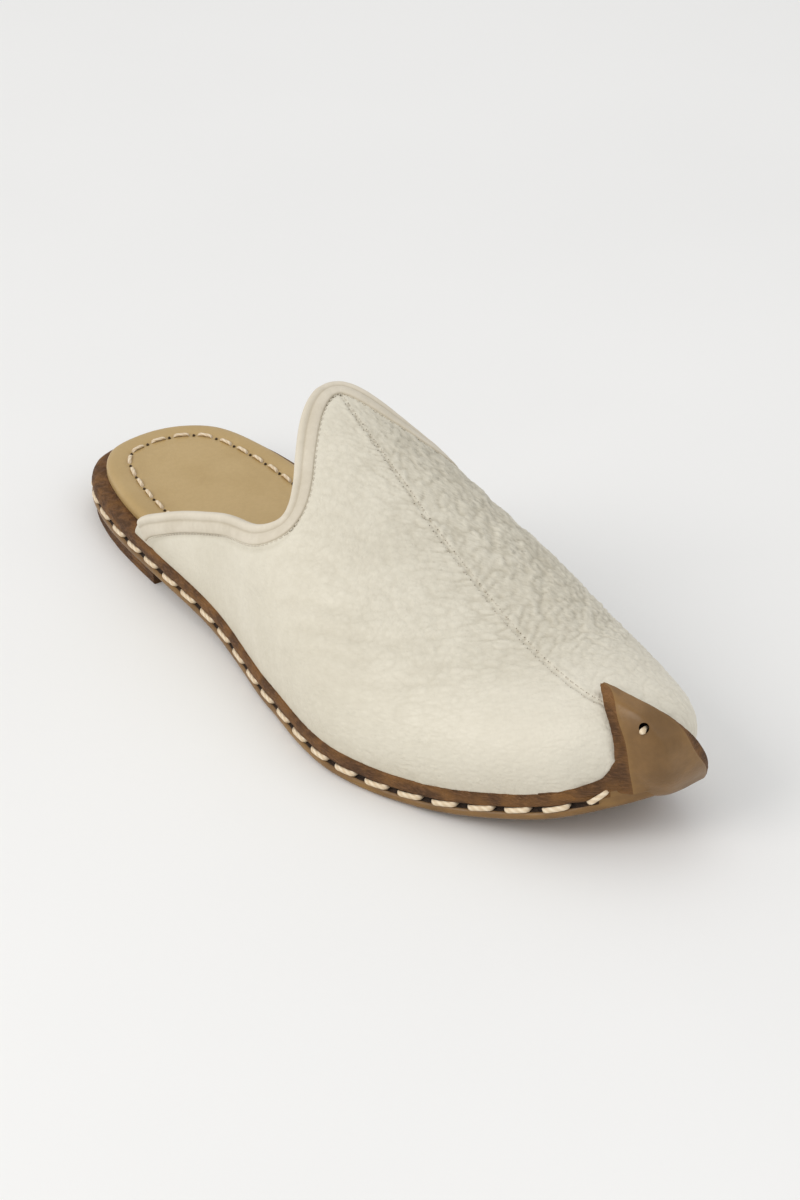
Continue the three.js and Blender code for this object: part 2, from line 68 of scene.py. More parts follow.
# Driving sizes of the part, in millimetres
SOLE_LENGTH = 276.0
BALL_WIDTH = 86.0
INSTEP_HEIGHT = 64.0
HEEL_LIFT_HEIGHT = 4.0
HEEL_LIFT_LENGTH = 67.0
OUTSOLE_THICKNESS = 8.6
TOE_SPRING = 16.0
INSOLE_THICKNESS = 4.0
UPPER_WALL = 2.2
FEATHER_INSET = 1.3
BEAK_THICKNESS = 10.0
BEAK_HEIGHT = 46.5
BEAK_HOLE_RADIUS = 1.5
LIP_HEIGHT = 3.0
GROOVE_HEIGHT = 1.6
INSOLE_INSET = 5.2
LIFT_INSET = 1.2
CLEARANCE = 0.3
GROOVE_MIDDLE = LIP_HEIGHT + GROOVE_HEIGHT / 2.0
WAIST_START = HEEL_LIFT_LENGTH + 2.0
TREAD_START = SOLE_LENGTH * 0.55
TREAD_END = SOLE_LENGTH * 0.75

# Material numbers within the sole, the insole and the heel lift
GRAIN_FACE = 0
CUT_FACE = 1
GROOVE_FACE = 2

# Where shoe coordinates (t towards the inner side, s from the heel back) lie in the frame
ACROSS_SHIFT = 0.8062
ALONG_SHIFT = 141.0101

# Plan outline of the sole: share of the length, then inner and outer edge as shares of the ball width
OUTLINE = (
    (0.000, 0.033, -0.033), (0.012, 0.200, 0.155), (0.037, 0.305, 0.243), (0.127, 0.402, 0.343),
    (0.254, 0.415, 0.380), (0.400, 0.345, 0.396), (0.545, 0.405, 0.474), (0.690, 0.473, 0.518),
    (0.800, 0.446, 0.412), (0.888, 0.398, 0.272), (0.950, 0.362, 0.145), (0.985, 0.315, -0.025),
    (1.000, 0.205, -0.205),
)
# Last under the upper: share of the length, ridge height, tuck in degrees, lean and fill
LAST = (
    (0.00, 0.840, 12, 0.00, 0.72), (0.30, 0.860, 14, 0.25, 0.72), (0.36, 0.980, 15, 0.30, 0.72),
    (0.41, 1.050, 15, 0.31, 0.72), (0.48, 0.985, 17, 0.28, 0.72), (0.55, 0.900, 19, 0.24, 0.73),
    (0.64, 0.755, 20, 0.20, 0.73), (0.72, 0.635, 22, 0.18, 0.73), (0.80, 0.550, 26, 0.16, 0.73),
    (0.88, 0.480, 29, 0.11, 0.73), (0.94, 0.385, 30, 0.04, 0.74), (0.98, 0.265, 28, 0.01, 0.76),
    (1.00, 0.000, 26, 0.00, 0.76),
)
# Collar line: place around the upper from the outer to the inner feather, share of the length
COLLAR = (
    (0.000, 0.200), (0.030, 0.228), (0.058, 0.266), (0.089, 0.314), (0.114, 0.366), (0.135, 0.408),
    (0.160, 0.444), (0.192, 0.477), (0.225, 0.499), (0.255, 0.510), (0.282, 0.508), (0.312, 0.493),
    (0.345, 0.468), (0.385, 0.442), (0.440, 0.419), (0.500, 0.410), (0.545, 0.416), (0.588, 0.436),
    (0.625, 0.458), (0.660, 0.481), (0.690, 0.500), (0.720, 0.510), (0.750, 0.507), (0.785, 0.492),
    (0.822, 0.470), (0.857, 0.442), (0.890, 0.405), (0.925, 0.355), (0.961, 0.303), (1.000, 0.258),
)
# Folds of the beak: along, height, outer, inner, fall back of the outer and the inner edge
BEAK = (
    (0.940, 0.240, 0.110, 0.310, 0.020, 0.000), (0.993, 0.318, 0.050, 0.322, 0.040, 0.004),
    (1.012, 0.440, 0.022, 0.312, 0.048, 0.004), (1.021, 0.600, 0.000, 0.285, 0.050, 0.002),
    (1.020, 0.774, 0.000, 0.235, 0.052, 0.002), (1.008, 0.892, 0.010, 0.180, 0.053, 0.004),
    (0.985, 0.968, 0.032, 0.125, 0.042, 0.004), (0.930, 1.000, 0.062, 0.074, 0.002, 0.000),
)
BEAK_HOLE = (0.714, -0.35)
# Centre seam on the vamp: share of the length, place around the upper
SEAM = ((0.40, 0.508), (0.46, 0.506), (0.56, 0.498), (0.64, 0.493), (0.72, 0.489), (0.77, 0.480),
        (0.825, 0.467), (0.873, 0.450), (0.90, 0.442), (0.935, 0.438), (0.96, 0.438), (1.00, 0.425))


class Side(Enum):
    """The two long sides of the shoe, with the sign that the outline uses."""

    OUTER = -1
    INNER = 1


class Slot(Enum):
    """Material slots that the record names."""

    CREAM = "cream_leather"
    BINDING = "binding_leather"
    SOLE = "sole_leather"
    INSOLE = "insole_leather"
    LINING = "lining_leather"
    THREAD = "waxed_thread"


# Plain helpers

def ease(low: float, high: float, value: np.ndarray) -> np.ndarray:
    """Runs smoothly from 0 to 1.

    Args:
        low: Value where it is 0.
        high: Value where it is 1.
        value: Where to read it.

    Returns:
        The eased share for each value.
    """
    share = np.clip((np.asarray(value, float) - low) / (high - low), 0.0, 1.0)
    return share * share * (3.0 - 2.0 * share)


def unit(vectors: np.ndarray) -> np.ndarray:
    """Vectors scaled to length one.

    Args:
        vectors: One vector in each row.

    Returns:
        The scaled vectors.
    """
    return vectors / np.maximum(np.linalg.norm(vectors, axis=-1, keepdims=True), 1e-9)


def wander(points: np.ndarray, size: tuple[float, float, float], seed: float) -> np.ndarray:
    """Soft noise over points.

    Args:
        points: Places in millimetres, one row each.
        size: Size of one patch along each axis, in millimetres.
        seed: Keeps different uses apart.

    Returns:
        One value between about -1 and 1 for each point.
    """
    scaled = points / np.array(size) + seed
    return np.array([noise.noise(p) for p in scaled])


def pebbles(points: np.ndarray, size: tuple[float, float, float], seed: float) -> np.ndarray:
    """How far each point is from the nearest crease between two pebbles of the grain.

    Args:
        points: Places in millimetres, one row each.
        size: Size of one pebble along each axis, in millimetres.
        seed: Keeps different uses apart.

    Returns:
        0 on a crease, rising to about 1 in the middle of a pebble.
    """
    scaled = points / np.array(size) + seed
    out = np.empty(len(scaled))
    for i, place in enumerate(scaled):
        near = noise.voronoi(place)[0]
        out[i] = near[1] - near[0]
    return out


class Curve:
    """Smooth curve through a table, with slopes taken from the neighbouring rows."""

    def __init__(self, xs: list[float], ys: list[float]) -> None:
        """Works out the slopes.

        Args:
            xs: Rising places.
            ys: Value at each place.
        """
        self.xs = np.array(xs, float)
        self.ys = np.array(ys, float)
        width = np.diff(self.xs)
        chord = np.diff(self.ys) / width
        self.slopes = np.empty(len(xs))
        self.slopes[0] = chord[0]
        self.slopes[-1] = chord[-1]
        self.slopes[1:-1] = (chord[:-1] * width[1:] + chord[1:] * width[:-1]) / (width[1:] + width[:-1])

    def __call__(self, x: np.ndarray) -> np.ndarray:
        """Reads the curve.

        Args:
            x: Places to read.

        Returns:
            The value at each place.
        """
        x = np.asarray(x, float)
        i = np.clip(np.searchsorted(self.xs, x) - 1, 0, len(self.xs) - 2)
        width = self.xs[i + 1] - self.xs[i]
        f = np.clip((x - self.xs[i]) / width, 0.0, 1.0)
        start = (2 * f**3 - 3 * f**2 + 1) * self.ys[i] + (f**3 - 2 * f**2 + f) * width * self.slopes[i]
        end = (3 * f**2 - 2 * f**3) * self.ys[i + 1] + (f**3 - f**2) * width * self.slopes[i + 1]
        return start + end


class Last:
    """The shapes that the part is built from, read for many places at once."""

    def __init__(self) -> None:
        """Turns the tables into curves."""
        stations = [float(self.station_at(row[0])) for row in OUTLINE]
        self.edges = {
            Side.INNER: Curve(stations, [row[1] * BALL_WIDTH for row in OUTLINE]),
            Side.OUTER: Curve(stations, [-row[2] * BALL_WIDTH for row in OUTLINE]),
        }
        stations = [float(self.station_at(row[0])) for row in LAST]
        self.rise = Curve(stations, [row[1] * INSTEP_HEIGHT for row in LAST])
        self.tuck = Curve(stations, [math.radians(row[2]) for row in LAST])
        self.lean = Curve(stations, [row[3] for row in LAST])
        self.fill = Curve(stations, [row[4] for row in LAST])
        self.collar = Curve([row[0] for row in COLLAR], [row[1] for row in COLLAR])
        self.seam = Curve([row[0] for row in SEAM], [row[1] for row in SEAM])
        folds = [i / (len(BEAK) - 1) for i in range(len(BEAK))]
        scales = (SOLE_LENGTH, BEAK_HEIGHT, BALL_WIDTH, BALL_WIDTH, SOLE_LENGTH, SOLE_LENGTH)
        self.beak_curves = [Curve(folds, [row[k] * scales[k] for row in BEAK]) for k in range(6)]
        lengths = np.linspace(0.2, 0.99, 80)
        around = np.linspace(0.0, 1.0, 120)
        grid = self.upper(self.station_at(lengths)[:, None], around[None, :])
        arcs = np.linalg.norm(np.diff(grid, axis=1), axis=2).sum(axis=1)
        self.girth_table = (lengths, arcs)

    @staticmethod
    def along_at(station: np.ndarray) -> np.ndarray:
        """Share of the sole's length at a station.

        Args:
            station: Where along the shoe, 0 at the heel and 1 at the toe.

        Returns:
            The share, from 0 to 1.
        """
        return (1.0 - np.cos(np.pi * np.asarray(station, float))) / 2.0

    @staticmethod
    def station_at(along: np.ndarray) -> np.ndarray:
        """Station of a share of the sole's length.

        Args:
            along: Share of the sole's length.

        Returns:
            The station, from 0 to 1.
        """
        return np.arccos(1.0 - 2.0 * np.clip(along, 0.0, 1.0)) / np.pi

    @staticmethod
    def place(s: np.ndarray, t: np.ndarray, z: np.ndarray) -> np.ndarray:
        """Shoe coordinates turned into the part's frame.

        Args:
            s: Distance from the heel back.
            t: Distance from the axis towards the inner side.
            z: Height.

        Returns:
            Points, one row each.
        """
        s, t, z = np.broadcast_arrays(s, t, z)
        return np.stack([t + ACROSS_SHIFT, ALONG_SHIFT - s, z], axis=-1)

    @staticmethod
    def underside(s: np.ndarray) -> np.ndarray:
        """Height of the outsole's underside at a distance from the heel back.

        Args:
            s: Distance from the heel back.

        Returns:
            The height in millimetres.
        """
        heel = (HEEL_LIFT_HEIGHT + CLEARANCE) * (1.0 - ease(WAIST_START, TREAD_START, s))
        toe = np.clip((s - TREAD_END) / (SOLE_LENGTH - TREAD_END), 0.0, None)
        return heel + TOE_SPRING * toe**2

    def outline(self, station: np.ndarray, side: Side, inset: np.ndarray) -> tuple[np.ndarray, np.ndarray]:
        """Places on the sole's outline.

        Args:
            station: Where along the shoe.
            side: Which long side.
            inset: How far inside the outline.

        Returns:
            Distances from the heel back and from the axis.
        """
        station = np.asarray(station, float)
        edge = self.edges[side]
        step = 0.002
        before = np.maximum(station - step, 0.0)
        after = np.minimum(station + step, 1.0)
        ds = SOLE_LENGTH * (self.along_at(after) - self.along_at(before))
        dt = edge(after) - edge(before)
        length = np.hypot(ds, dt)
        inward_s = side.value * dt / length
        inward_t = -side.value * ds / length
        ends = (station <= 0.0) | (station >= 1.0)
        inward_s = np.where(ends, np.where(station <= 0.0, 1.0, -1.0), inward_s)
        inward_t = np.where(ends, 0.0, inward_t)
        return SOLE_LENGTH * self.along_at(station) + inward_s * inset, edge(station) + inward_t * inset

    def upper(self, station: np.ndarray, around: np.ndarray) -> np.ndarray:
        """Points on the outer face of the upper.

        Args:
            station: Where along the shoe.
            around: From the outer feather (0) over the ridge to the inner feather (1).

        Returns:
            Points in the part's frame.
        """
        outer_s, outer_t = self.outline(station, Side.OUTER, FEATHER_INSET)
        inner_s, inner_t = self.outline(station, Side.INNER, FEATHER_INSET)
        tuck = self.tuck(station)
        angle = -tuck + (np.pi + 2.0 * tuck) * around
        middle_s = (outer_s + inner_s) / 2.0
        middle_t = (outer_t + inner_t) / 2.0
        reach = -np.cos(angle) / np.cos(tuck)
        raised = np.maximum((np.sin(angle) + np.sin(tuck)) / (1.0 + np.sin(tuck)), 0.0)
        lift = raised ** self.fill(station)
        shift = self.lean(station) * lift**2
        s = middle_s + (inner_s - outer_s) / 2.0 * reach
        t = middle_t + (inner_t - outer_t) / 2.0 * (reach + shift)
        feather = self.underside(middle_s) + OUTSOLE_THICKNESS + CLEARANCE
        return self.place(s, t, feather + self.rise(station) * lift)

    def upper_normal(self, station: np.ndarray, around: np.ndarray) -> np.ndarray:
        """Outward directions of the upper's face.

        Args:
            station: Where along the shoe.
            around: Where around the upper.

        Returns:
            Unit vectors.
        """
        step = 0.004
        ahead = self.upper(np.minimum(station + step, 0.999), around)
        behind = self.upper(np.minimum(station, 0.995) - step, around)
        side = self.upper(station, around + step) - self.upper(station, around - step)
        return unit(np.cross(ahead - behind, side))

    def tip(self, offset: float) -> np.ndarray:
        """Point of the toe where the upper closes, moved out by an offset.

        Args:
            offset: How far out, in millimetres.

        Returns:
            The point.
        """
        s, t = self.outline(np.array(1.0), Side.INNER, FEATHER_INSET - offset)
        height = self.underside(s) + OUTSOLE_THICKNESS + CLEARANCE + UPPER_WALL
        return self.place(s, t, height)

    def collar_station(self, around: np.ndarray) -> np.ndarray:
        """Station where the upper begins.

        Args:
            around: Place around the upper.

        Returns:
            The station.
        """
        return self.station_at(self.collar(around))

    def collar_frame(self, around: np.ndarray) -> tuple[np.ndarray, np.ndarray, np.ndarray]:
        """Directions at the collar's edge.

        Args:
            around: Places around the upper.

        Returns:
            Directions along the edge, out of the face and into the upper.
        """
        step = 0.003
        ahead = self.upper(self.collar_station(around + step), around + step)
        behind = self.upper(self.collar_station(around - step), around - step)
        run = unit(ahead - behind)
        normal = self.upper_normal(self.collar_station(around), around)
        return run, normal, unit(np.cross(run, normal))

    def near_collar(self, around: np.ndarray, into: np.ndarray, off: np.ndarray) -> np.ndarray:
        """Points a short way into the upper from its collar, following the curved face.

        Args:
            around: Places around the upper.
            into: Distance into the upper.
            off: Distance out of the face.

        Returns:
            Points in the part's frame.
        """
        station = self.collar_station(around)
        _, _, inward = self.collar_frame(around)
        step = 0.003
        here = self.upper(station, around)
        down = self.upper(station + step, around) - here
        across = self.upper(station, around + step) - here
        aa, bb, ab = (down * down).sum(-1), (across * across).sum(-1), (down * across).sum(-1)
        target = inward * np.asarray(into, float)[..., None]
        ta, tb = (target * down).sum(-1), (target * across).sum(-1)
        det = aa * bb - ab * ab
        new_station = station + step * (ta * bb - tb * ab) / det
        new_around = around + step * (tb * aa - ta * ab) / det
        place = self.upper(new_station, new_around)
        return place + self.upper_normal(new_station, new_around) * np.asarray(off, float)[..., None]

    def girth(self, along: np.ndarray) -> np.ndarray:
        """Length of the upper from feather to feather at a share of the length.

        Args:
            along: Share of the sole's length.

        Returns:
            The length in millimetres.
        """
        return np.interp(along, *self.girth_table)

    def chart(self, along: np.ndarray, around: np.ndarray) -> np.ndarray:
        """Flat map of the upper, in millimetres along the shoe and away from the centre seam.

        Args:
            along: Shares of the sole's length.
            around: Places around the upper.

        Returns:
            Two numbers for each place; the second is negative on the outer side.
        """
        along, around = np.broadcast_arrays(along, around)
        return np.stack([along * SOLE_LENGTH, (around - self.seam(along)) * self.girth(along)], axis=-1)

    def beak(self, fold: np.ndarray, across: np.ndarray) -> np.ndarray:
        """Points on the outer face of the beak.

        Args:
            fold: From under the sole (0) to the tip (1).
            across: From the outer edge (-1) to the inner edge (1).

        Returns:
            Points in the part's frame.
        """
        along, height, outer, inner, back_outer, back_inner = (curve(fold) for curve in self.beak_curves)
        back = np.where(np.asarray(across) < 0.0, back_outer, back_inner)
        t = (outer + inner) / 2.0 + (inner - outer) / 2.0 * across
        return self.place(along - back * np.square(across), t, height)

    def beak_normal(self, fold: np.ndarray, across: np.ndarray) -> np.ndarray:
        """Outward directions of the beak's outer face.

        Args:
            fold: From under the sole (0) to the tip (1).
            across: From the outer edge (-1) to the inner edge (1).

        Returns:
            Unit vectors.
        """
        step = 0.01
        up = self.beak(np.minimum(fold + step, 1.0), across) - self.beak(np.maximum(fold - step, 0.0), across)
        side = self.beak(fold, across + step) - self.beak(fold, across - step)
        return unit(np.cross(side, up))

    def sole_path(self, inset: float, height: float, inner_end: float, outer_end: float,
                  steps: int = 400) -> tuple[np.ndarray, np.ndarray]:
        """Line round the sole's edge from the inner toe past the heel to the outer toe.

        Args:
            inset: Distance inside the outline.
            height: Height above the underside.
            inner_end: Share of the length where it starts on the inner side.
            outer_end: Share of the length where it ends on the outer side.
            steps: Points on each side.

        Returns:
            Points and the level directions out of the edge.
        """
        rows = []
        outward = []
        for side, end in ((Side.INNER, inner_end), (Side.OUTER, outer_end)):
            stations = np.linspace(0.0, float(self.station_at(end)), steps)
            s, t = self.outline(stations, side, inset)
            s_in, t_in = self.outline(stations, side, inset + 1.0)
            points = self.place(s, t, self.underside(s) + height)
            inner_points = self.place(s_in, t_in, self.underside(s) + height)
            rows.append(points if side is Side.OUTER else points[::-1])
            away = unit(points - inner_points)
            outward.append(away if side is Side.OUTER else away[::-1])
        return np.concatenate(rows), np.concatenate(outward)


class Patch:
    """Collects the points and faces of one piece, in millimetres, and makes its object."""

    def __init__(self) -> None:
        """Starts empty."""
        self.points: list[np.ndarray] = []
        self.hollow_shade: list[np.ndarray] = []
        self.wear: list[np.ndarray] = []
        self.uv: list[np.ndarray] = []
        self.faces: list[list[int]] = []
        self.slots: list[int] = []
        self.count = 0

    def add(self, points: np.ndarray, hollow_shade: np.ndarray | float = 0.0, wear: np.ndarray | float = 0.0,
            uv: np.ndarray | None = None) -> np.ndarray:
        """Adds points.

        Args:
            points: Any block of points.
            hollow_shade: Painted shade, by how deep each lies in a crease, groove or hole, 0 to 1.
            wear: How much each is rubbed, 0 to 1.
            uv: Length and turn along a thread.

        Returns:
            The new numbers, in the shape of the block.
        """
        shape = points.shape[:-1]
        flat = points.reshape(-1, 3)
        self.points.append(flat)
        self.hollow_shade.append(np.broadcast_to(hollow_shade, shape).reshape(-1))
        self.wear.append(np.broadcast_to(wear, shape).reshape(-1))
        self.uv.append(np.zeros((len(flat), 2)) if uv is None else uv.reshape(-1, 2))
        numbers = np.arange(self.count, self.count + len(flat)).reshape(shape)
        self.count += len(flat)
        return numbers

    def quads(self, numbers: np.ndarray, slot: int = 0, close: bool = False) -> None:
        """Covers a block of numbered points with faces.

        Args:
            numbers: Rows and columns of point numbers.
            slot: Material slot of the faces.
            close: True if the last column joins the first.
        """
        if close:
            numbers = np.concatenate([numbers, numbers[:, :1]], axis=1)
        a, b = numbers[:-1, :-1], numbers[:-1, 1:]
        c, d = numbers[1:, 1:], numbers[1:, :-1]
        new = np.stack([a, b, c, d], axis=-1).reshape(-1, 4).tolist()
        self.faces.extend(new)
        self.slots.extend([slot] * len(new))

    def fan(self, centre: int, line: np.ndarray, slot: int = 0) -> None:
        """Triangles between a point and a line of points.

        Args:
            centre: Number of the point.
            line: Numbers of the line's points.
            slot: Material slot of the faces.
        """
        new = [[int(centre), int(line[i]), int(line[i + 1])] for i in range(len(line) - 1)]
        self.faces.extend(new)
        self.slots.extend([slot] * len(new))

    def tube(self, rings: np.ndarray, slot: int = 0, hollow_shade: np.ndarray | float = 0.0) -> None:
        """Closed tube from rings of points that shrink at both ends.

        Args:
            rings: Rings, sides and coordinates; the last side repeats the first.
            slot: Material slot of the faces.
            hollow_shade: Painted shade for each ring and side.
        """
        centres = rings.mean(axis=1)
        lengths = np.concatenate([[0.0], np.cumsum(np.linalg.norm(np.diff(centres, axis=0), axis=1))])
        turns = np.linspace(0.0, 1.0, rings.shape[1])
        uv = np.stack(np.meshgrid(lengths, turns, indexing="ij"), axis=-1)
        numbers = self.add(rings, hollow_shade=hollow_shade, uv=uv)
        self.quads(numbers, slot)
        for end in (0, -1):
            tip = self.add(centres[end][None], uv=uv[end, :1])
            self.fan(tip[0], numbers[end], slot)

    def make(self, name: str, materials: list[bpy.types.Material],
             replaces: tuple[str, ...] = (), sharp: float = 60.0) -> bpy.types.Object:
        """Makes the object.

        Args:
            name: Piece name.
            materials: Material for each slot number.
            replaces: Names of the part's nodes that it stands for.
            sharp: Edges sharper than this many degrees stay crisp.

        Returns:
            The new object, riding on the part's body.
        """
        mesh = bpy.data.meshes.new(name)
        points = np.concatenate(self.points) * MM
        mesh.from_pydata(points.tolist(), [], self.faces)
        for material in materials:
            mesh.materials.append(material)
        mesh.polygons.foreach_set("material_index", self.slots)
        # the first stored value is painted shade in creases, grooves and holes, the second is wear
        for label, values in (("hollow_shade", self.hollow_shade), ("wear", self.wear)):
            layer = mesh.attributes.new(label, "FLOAT", "POINT")
            layer.data.foreach_set("value", np.concatenate(values).astype(np.float32))
        corner = np.empty(len(mesh.loops), dtype=np.int32)
        mesh.loops.foreach_get("vertex_index", corner)
        layer = mesh.uv_layers.new(name="run")
        layer.data.foreach_set("uv", np.concatenate(self.uv)[corner].astype(np.float32).ravel())
        work = bmesh.new()
        work.from_mesh(mesh)
        bmesh.ops.recalc_face_normals(work, faces=work.faces)
        work.to_mesh(mesh)
        work.free()
        mesh.shade_smooth()
        mesh.set_sharp_from_angle(angle=math.radians(sharp))
        thing = bpy.data.objects.new(name, mesh)
        bpy.context.collection.objects.link(thing)
        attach(thing, "root")
        if replaces:
            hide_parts(*replaces)
        return thing


# Materials

def linear(colour: str) -> tuple[float, float, float, float]:
    """Turns an sRGB hex colour into linear light.

    Args:
        colour: Six hex digits after a hash sign.

    Returns:
        Red, green, blue and full alpha.
    """
    parts = [int(colour[i:i + 2], 16) / 255.0 for i in (1, 3, 5)]
    light = [p / 12.92 if p <= 0.04045 else ((p + 0.055) / 1.055) ** 2.4 for p in parts]
    return (*light, 1.0)


class Shading:
    """Builds one material's node tree."""

    def __init__(self, name: str, roughness: float, ior: float) -> None:
        """Starts a material with its main shader.

        Args:
            name: Material name.
            roughness: Plain roughness of the shader.
            ior: Index of refraction.
        """
        self.material = bpy.data.materials.new(name)
        self.material.use_nodes = True
        self.tree = self.material.node_tree
        self.shader = self.tree.nodes["Principled BSDF"]
        self.shader.inputs["Roughness"].default_value = roughness
        self.shader.inputs["IOR"].default_value = ior
        self.shader.inputs["Metallic"].default_value = 0.0

    def add(self, kind: str, settings: dict | None = None, inputs: dict | None = None) -> bpy.types.Node:
        """Adds a node with its settings and links.

        Args:
            kind: Node type.
            settings: Properties to set.
            inputs: Input values by name or number; a socket is linked.

        Returns:
            The new node.
        """
        new = self.tree.nodes.new(kind)
        for name, value in (settings or {}).items():
            setattr(new, name, value)
        for name, value in (inputs or {}).items():
            if isinstance(value, bpy.types.NodeSocket):
                self.tree.links.new(value, new.inputs[name])
            else:
                new.inputs[name].default_value = value
        return new

    def plug(self, name: str, socket: bpy.types.NodeSocket) -> None:
        """Links a socket to an input of the main shader.

        Args:
            name: The input's name.
            socket: What feeds it.
        """
        self.tree.links.new(socket, self.shader.inputs[name])

    def millimetres(self) -> bpy.types.NodeSocket:
        """Object coordinates in millimetres, so that a pattern's scale is one over its size."""
        place = self.add("ShaderNodeTexCoord").outputs["Object"]
        return self.add("ShaderNodeVectorMath", {"operation": "SCALE"},
                        {0: place, "Scale": 1.0 / MM}).outputs["Vector"]

    def stretched(self, place: bpy.types.NodeSocket,
                  scale: tuple[float, float, float]) -> bpy.types.NodeSocket:
        """Coordinates stretched along the axes, for fibres and brush marks.

        Args:
            place: Coordinates in millimetres.
            scale: Factor along each axis.

        Returns:
            The stretched coordinates.
        """
        return self.add("ShaderNodeVectorMath", {"operation": "MULTIPLY"},
                        {0: place, 1: scale}).outputs["Vector"]

    def mottle(self, place: bpy.types.NodeSocket, size: float, low: float, high: float,
               detail: float = 3.0) -> bpy.types.NodeSocket:
        """Noise patches spread over 0 to 1.

        Args:
            place: Coordinates in millimetres.
            size: Size of one patch in millimetres.
            low: Noise value that becomes 0.
            high: Noise value that becomes 1.
            detail: Octaves of the noise.

        Returns:
            The spread value.
        """
        grain = self.add("ShaderNodeTexNoise", None, {"Vector": place, "Scale": 1.0 / size, "Detail": detail})
        return self.add("ShaderNodeMapRange", {"interpolation_type": "SMOOTHSTEP"},
                        {"Value": grain.outputs["Fac"], "From Min": low, "From Max": high}).outputs["Result"]

    def times(self, value: bpy.types.NodeSocket, factor: float, plus: float = 0.0) -> bpy.types.NodeSocket:
        """A value scaled and moved.

        Args:
            value: The value.
            factor: What it is multiplied by.
            plus: What is added after that.

        Returns:
            The new value.
        """
        return self.add("ShaderNodeMath", {"operation": "MULTIPLY_ADD"},
                        {0: value, 1: factor, 2: plus}).outputs["Value"]

    def mix(self, share: bpy.types.NodeSocket, low: bpy.types.NodeSocket | str,
            high: bpy.types.NodeSocket | str) -> bpy.types.NodeSocket:
        """Mixes two colours.

        Args:
            share: How much of the second colour.
            low: First colour, a socket or hex digits.
            high: Second colour, a socket or hex digits.

        Returns:
            The mixed colour.
        """
        inputs = {0: share}
        for place, colour in ((6, low), (7, high)):
            inputs[place] = linear(colour) if isinstance(colour, str) else colour
        return self.add("ShaderNodeMix", {"data_type": "RGBA"}, inputs).outputs[2]

    def mark(self, name: str) -> bpy.types.NodeSocket:
        """A value stored at the mesh's points.

        Args:
            name: Name of the stored value.

        Returns:
            The value.
        """
        return self.add("ShaderNodeAttribute", {"attribute_name": name}).outputs["Fac"]

    def bump(self, height: bpy.types.NodeSocket, depth: float, strength: float = 1.0,
             under: bpy.types.NodeSocket | None = None) -> bpy.types.NodeSocket:
        """Relief too fine for the mesh.

        Args:
            height: Pattern between 0 and 1.
            depth: Depth of the pattern in millimetres.
            strength: Share of it that is used.
            under: Normal of a coarser relief below it.

        Returns:
            The new normal.
        """
        inputs = {"Height": height, "Distance": depth * MM, "Strength": strength}
        if under is not None:
            inputs["Normal"] = under
        return self.add("ShaderNodeBump", None, inputs).outputs["Normal"]


@dataclass(frozen=True)
class Leather:
    """Grain leather: a dyed hide whose pores and fine wrinkles catch the light.

    Args:
        name: Material name.
        colour: Main tone.
        shade: Darker tone of the mottle, and of the painted shade in the hollows.
        rubbed: Tone where the finish is worn.
        roughness: How matt the finish is.
        patch: Size of the tone's patches in millimetres.
        spread: How much of the darker tone the mottle brings.
        cell: Size of one pebble of the fine grain in millimetres.
        depth: Depth of the fine grain in millimetres.
        pore: Size of the pores in millimetres.
        coat: Share of a wax film over the grain.
        ior: Index of refraction.
    """

    name: str
    colour: str
    shade: str
    rubbed: str
    roughness: float
    patch: float = 22.0
    spread: float = 0.35
    cell: float = 1.1
    depth: float = 0.10
    pore: float = 0.35
    coat: float = 0.0
    ior: float = 1.5

    def build(self) -> bpy.types.Material:
        """Makes the material."""
        art = Shading(self.name, self.roughness, self.ior)
        place = art.millimetres()
        broad = art.mottle(place, self.patch, 0.35, 0.68)
        flecks = art.mottle(place, self.cell * 2.2, 0.30, 0.72)
        tone = art.mix(art.times(broad, self.spread), self.colour, self.shade)
        tone = art.mix(art.times(flecks, self.spread * 0.4), tone, self.shade)
        # painted shade: darker in creases, grooves and holes
        tone = art.mix(art.times(art.mark("hollow_shade"), 0.55), tone, self.shade)
        tone = art.mix(art.times(art.mark("wear"), 0.6), tone, self.rubbed)
        art.plug("Base Color", tone)
        art.plug("Roughness", art.times(broad, 0.12, self.roughness - 0.05))
        cells = art.add("ShaderNodeTexVoronoi", {"feature": "SMOOTH_F1"},
                        {"Vector": place, "Scale": 1.0 / self.cell, "Smoothness": 0.4})
        normal = art.bump(art.times(cells.outputs["Distance"], -1.0, 1.0), self.depth)
        # real pores are near 0.1 mm; drawn coarser so that they still show at this distance
        pores = art.mottle(place, self.pore, 0.25, 0.75, 2.0)
        art.plug("Normal", art.bump(pores, self.depth * 0.35, 0.8, normal))
        if self.coat:
            art.shader.inputs["Coat Weight"].default_value = self.coat
            art.shader.inputs["Coat Roughness"].default_value = 0.35
        return art.material


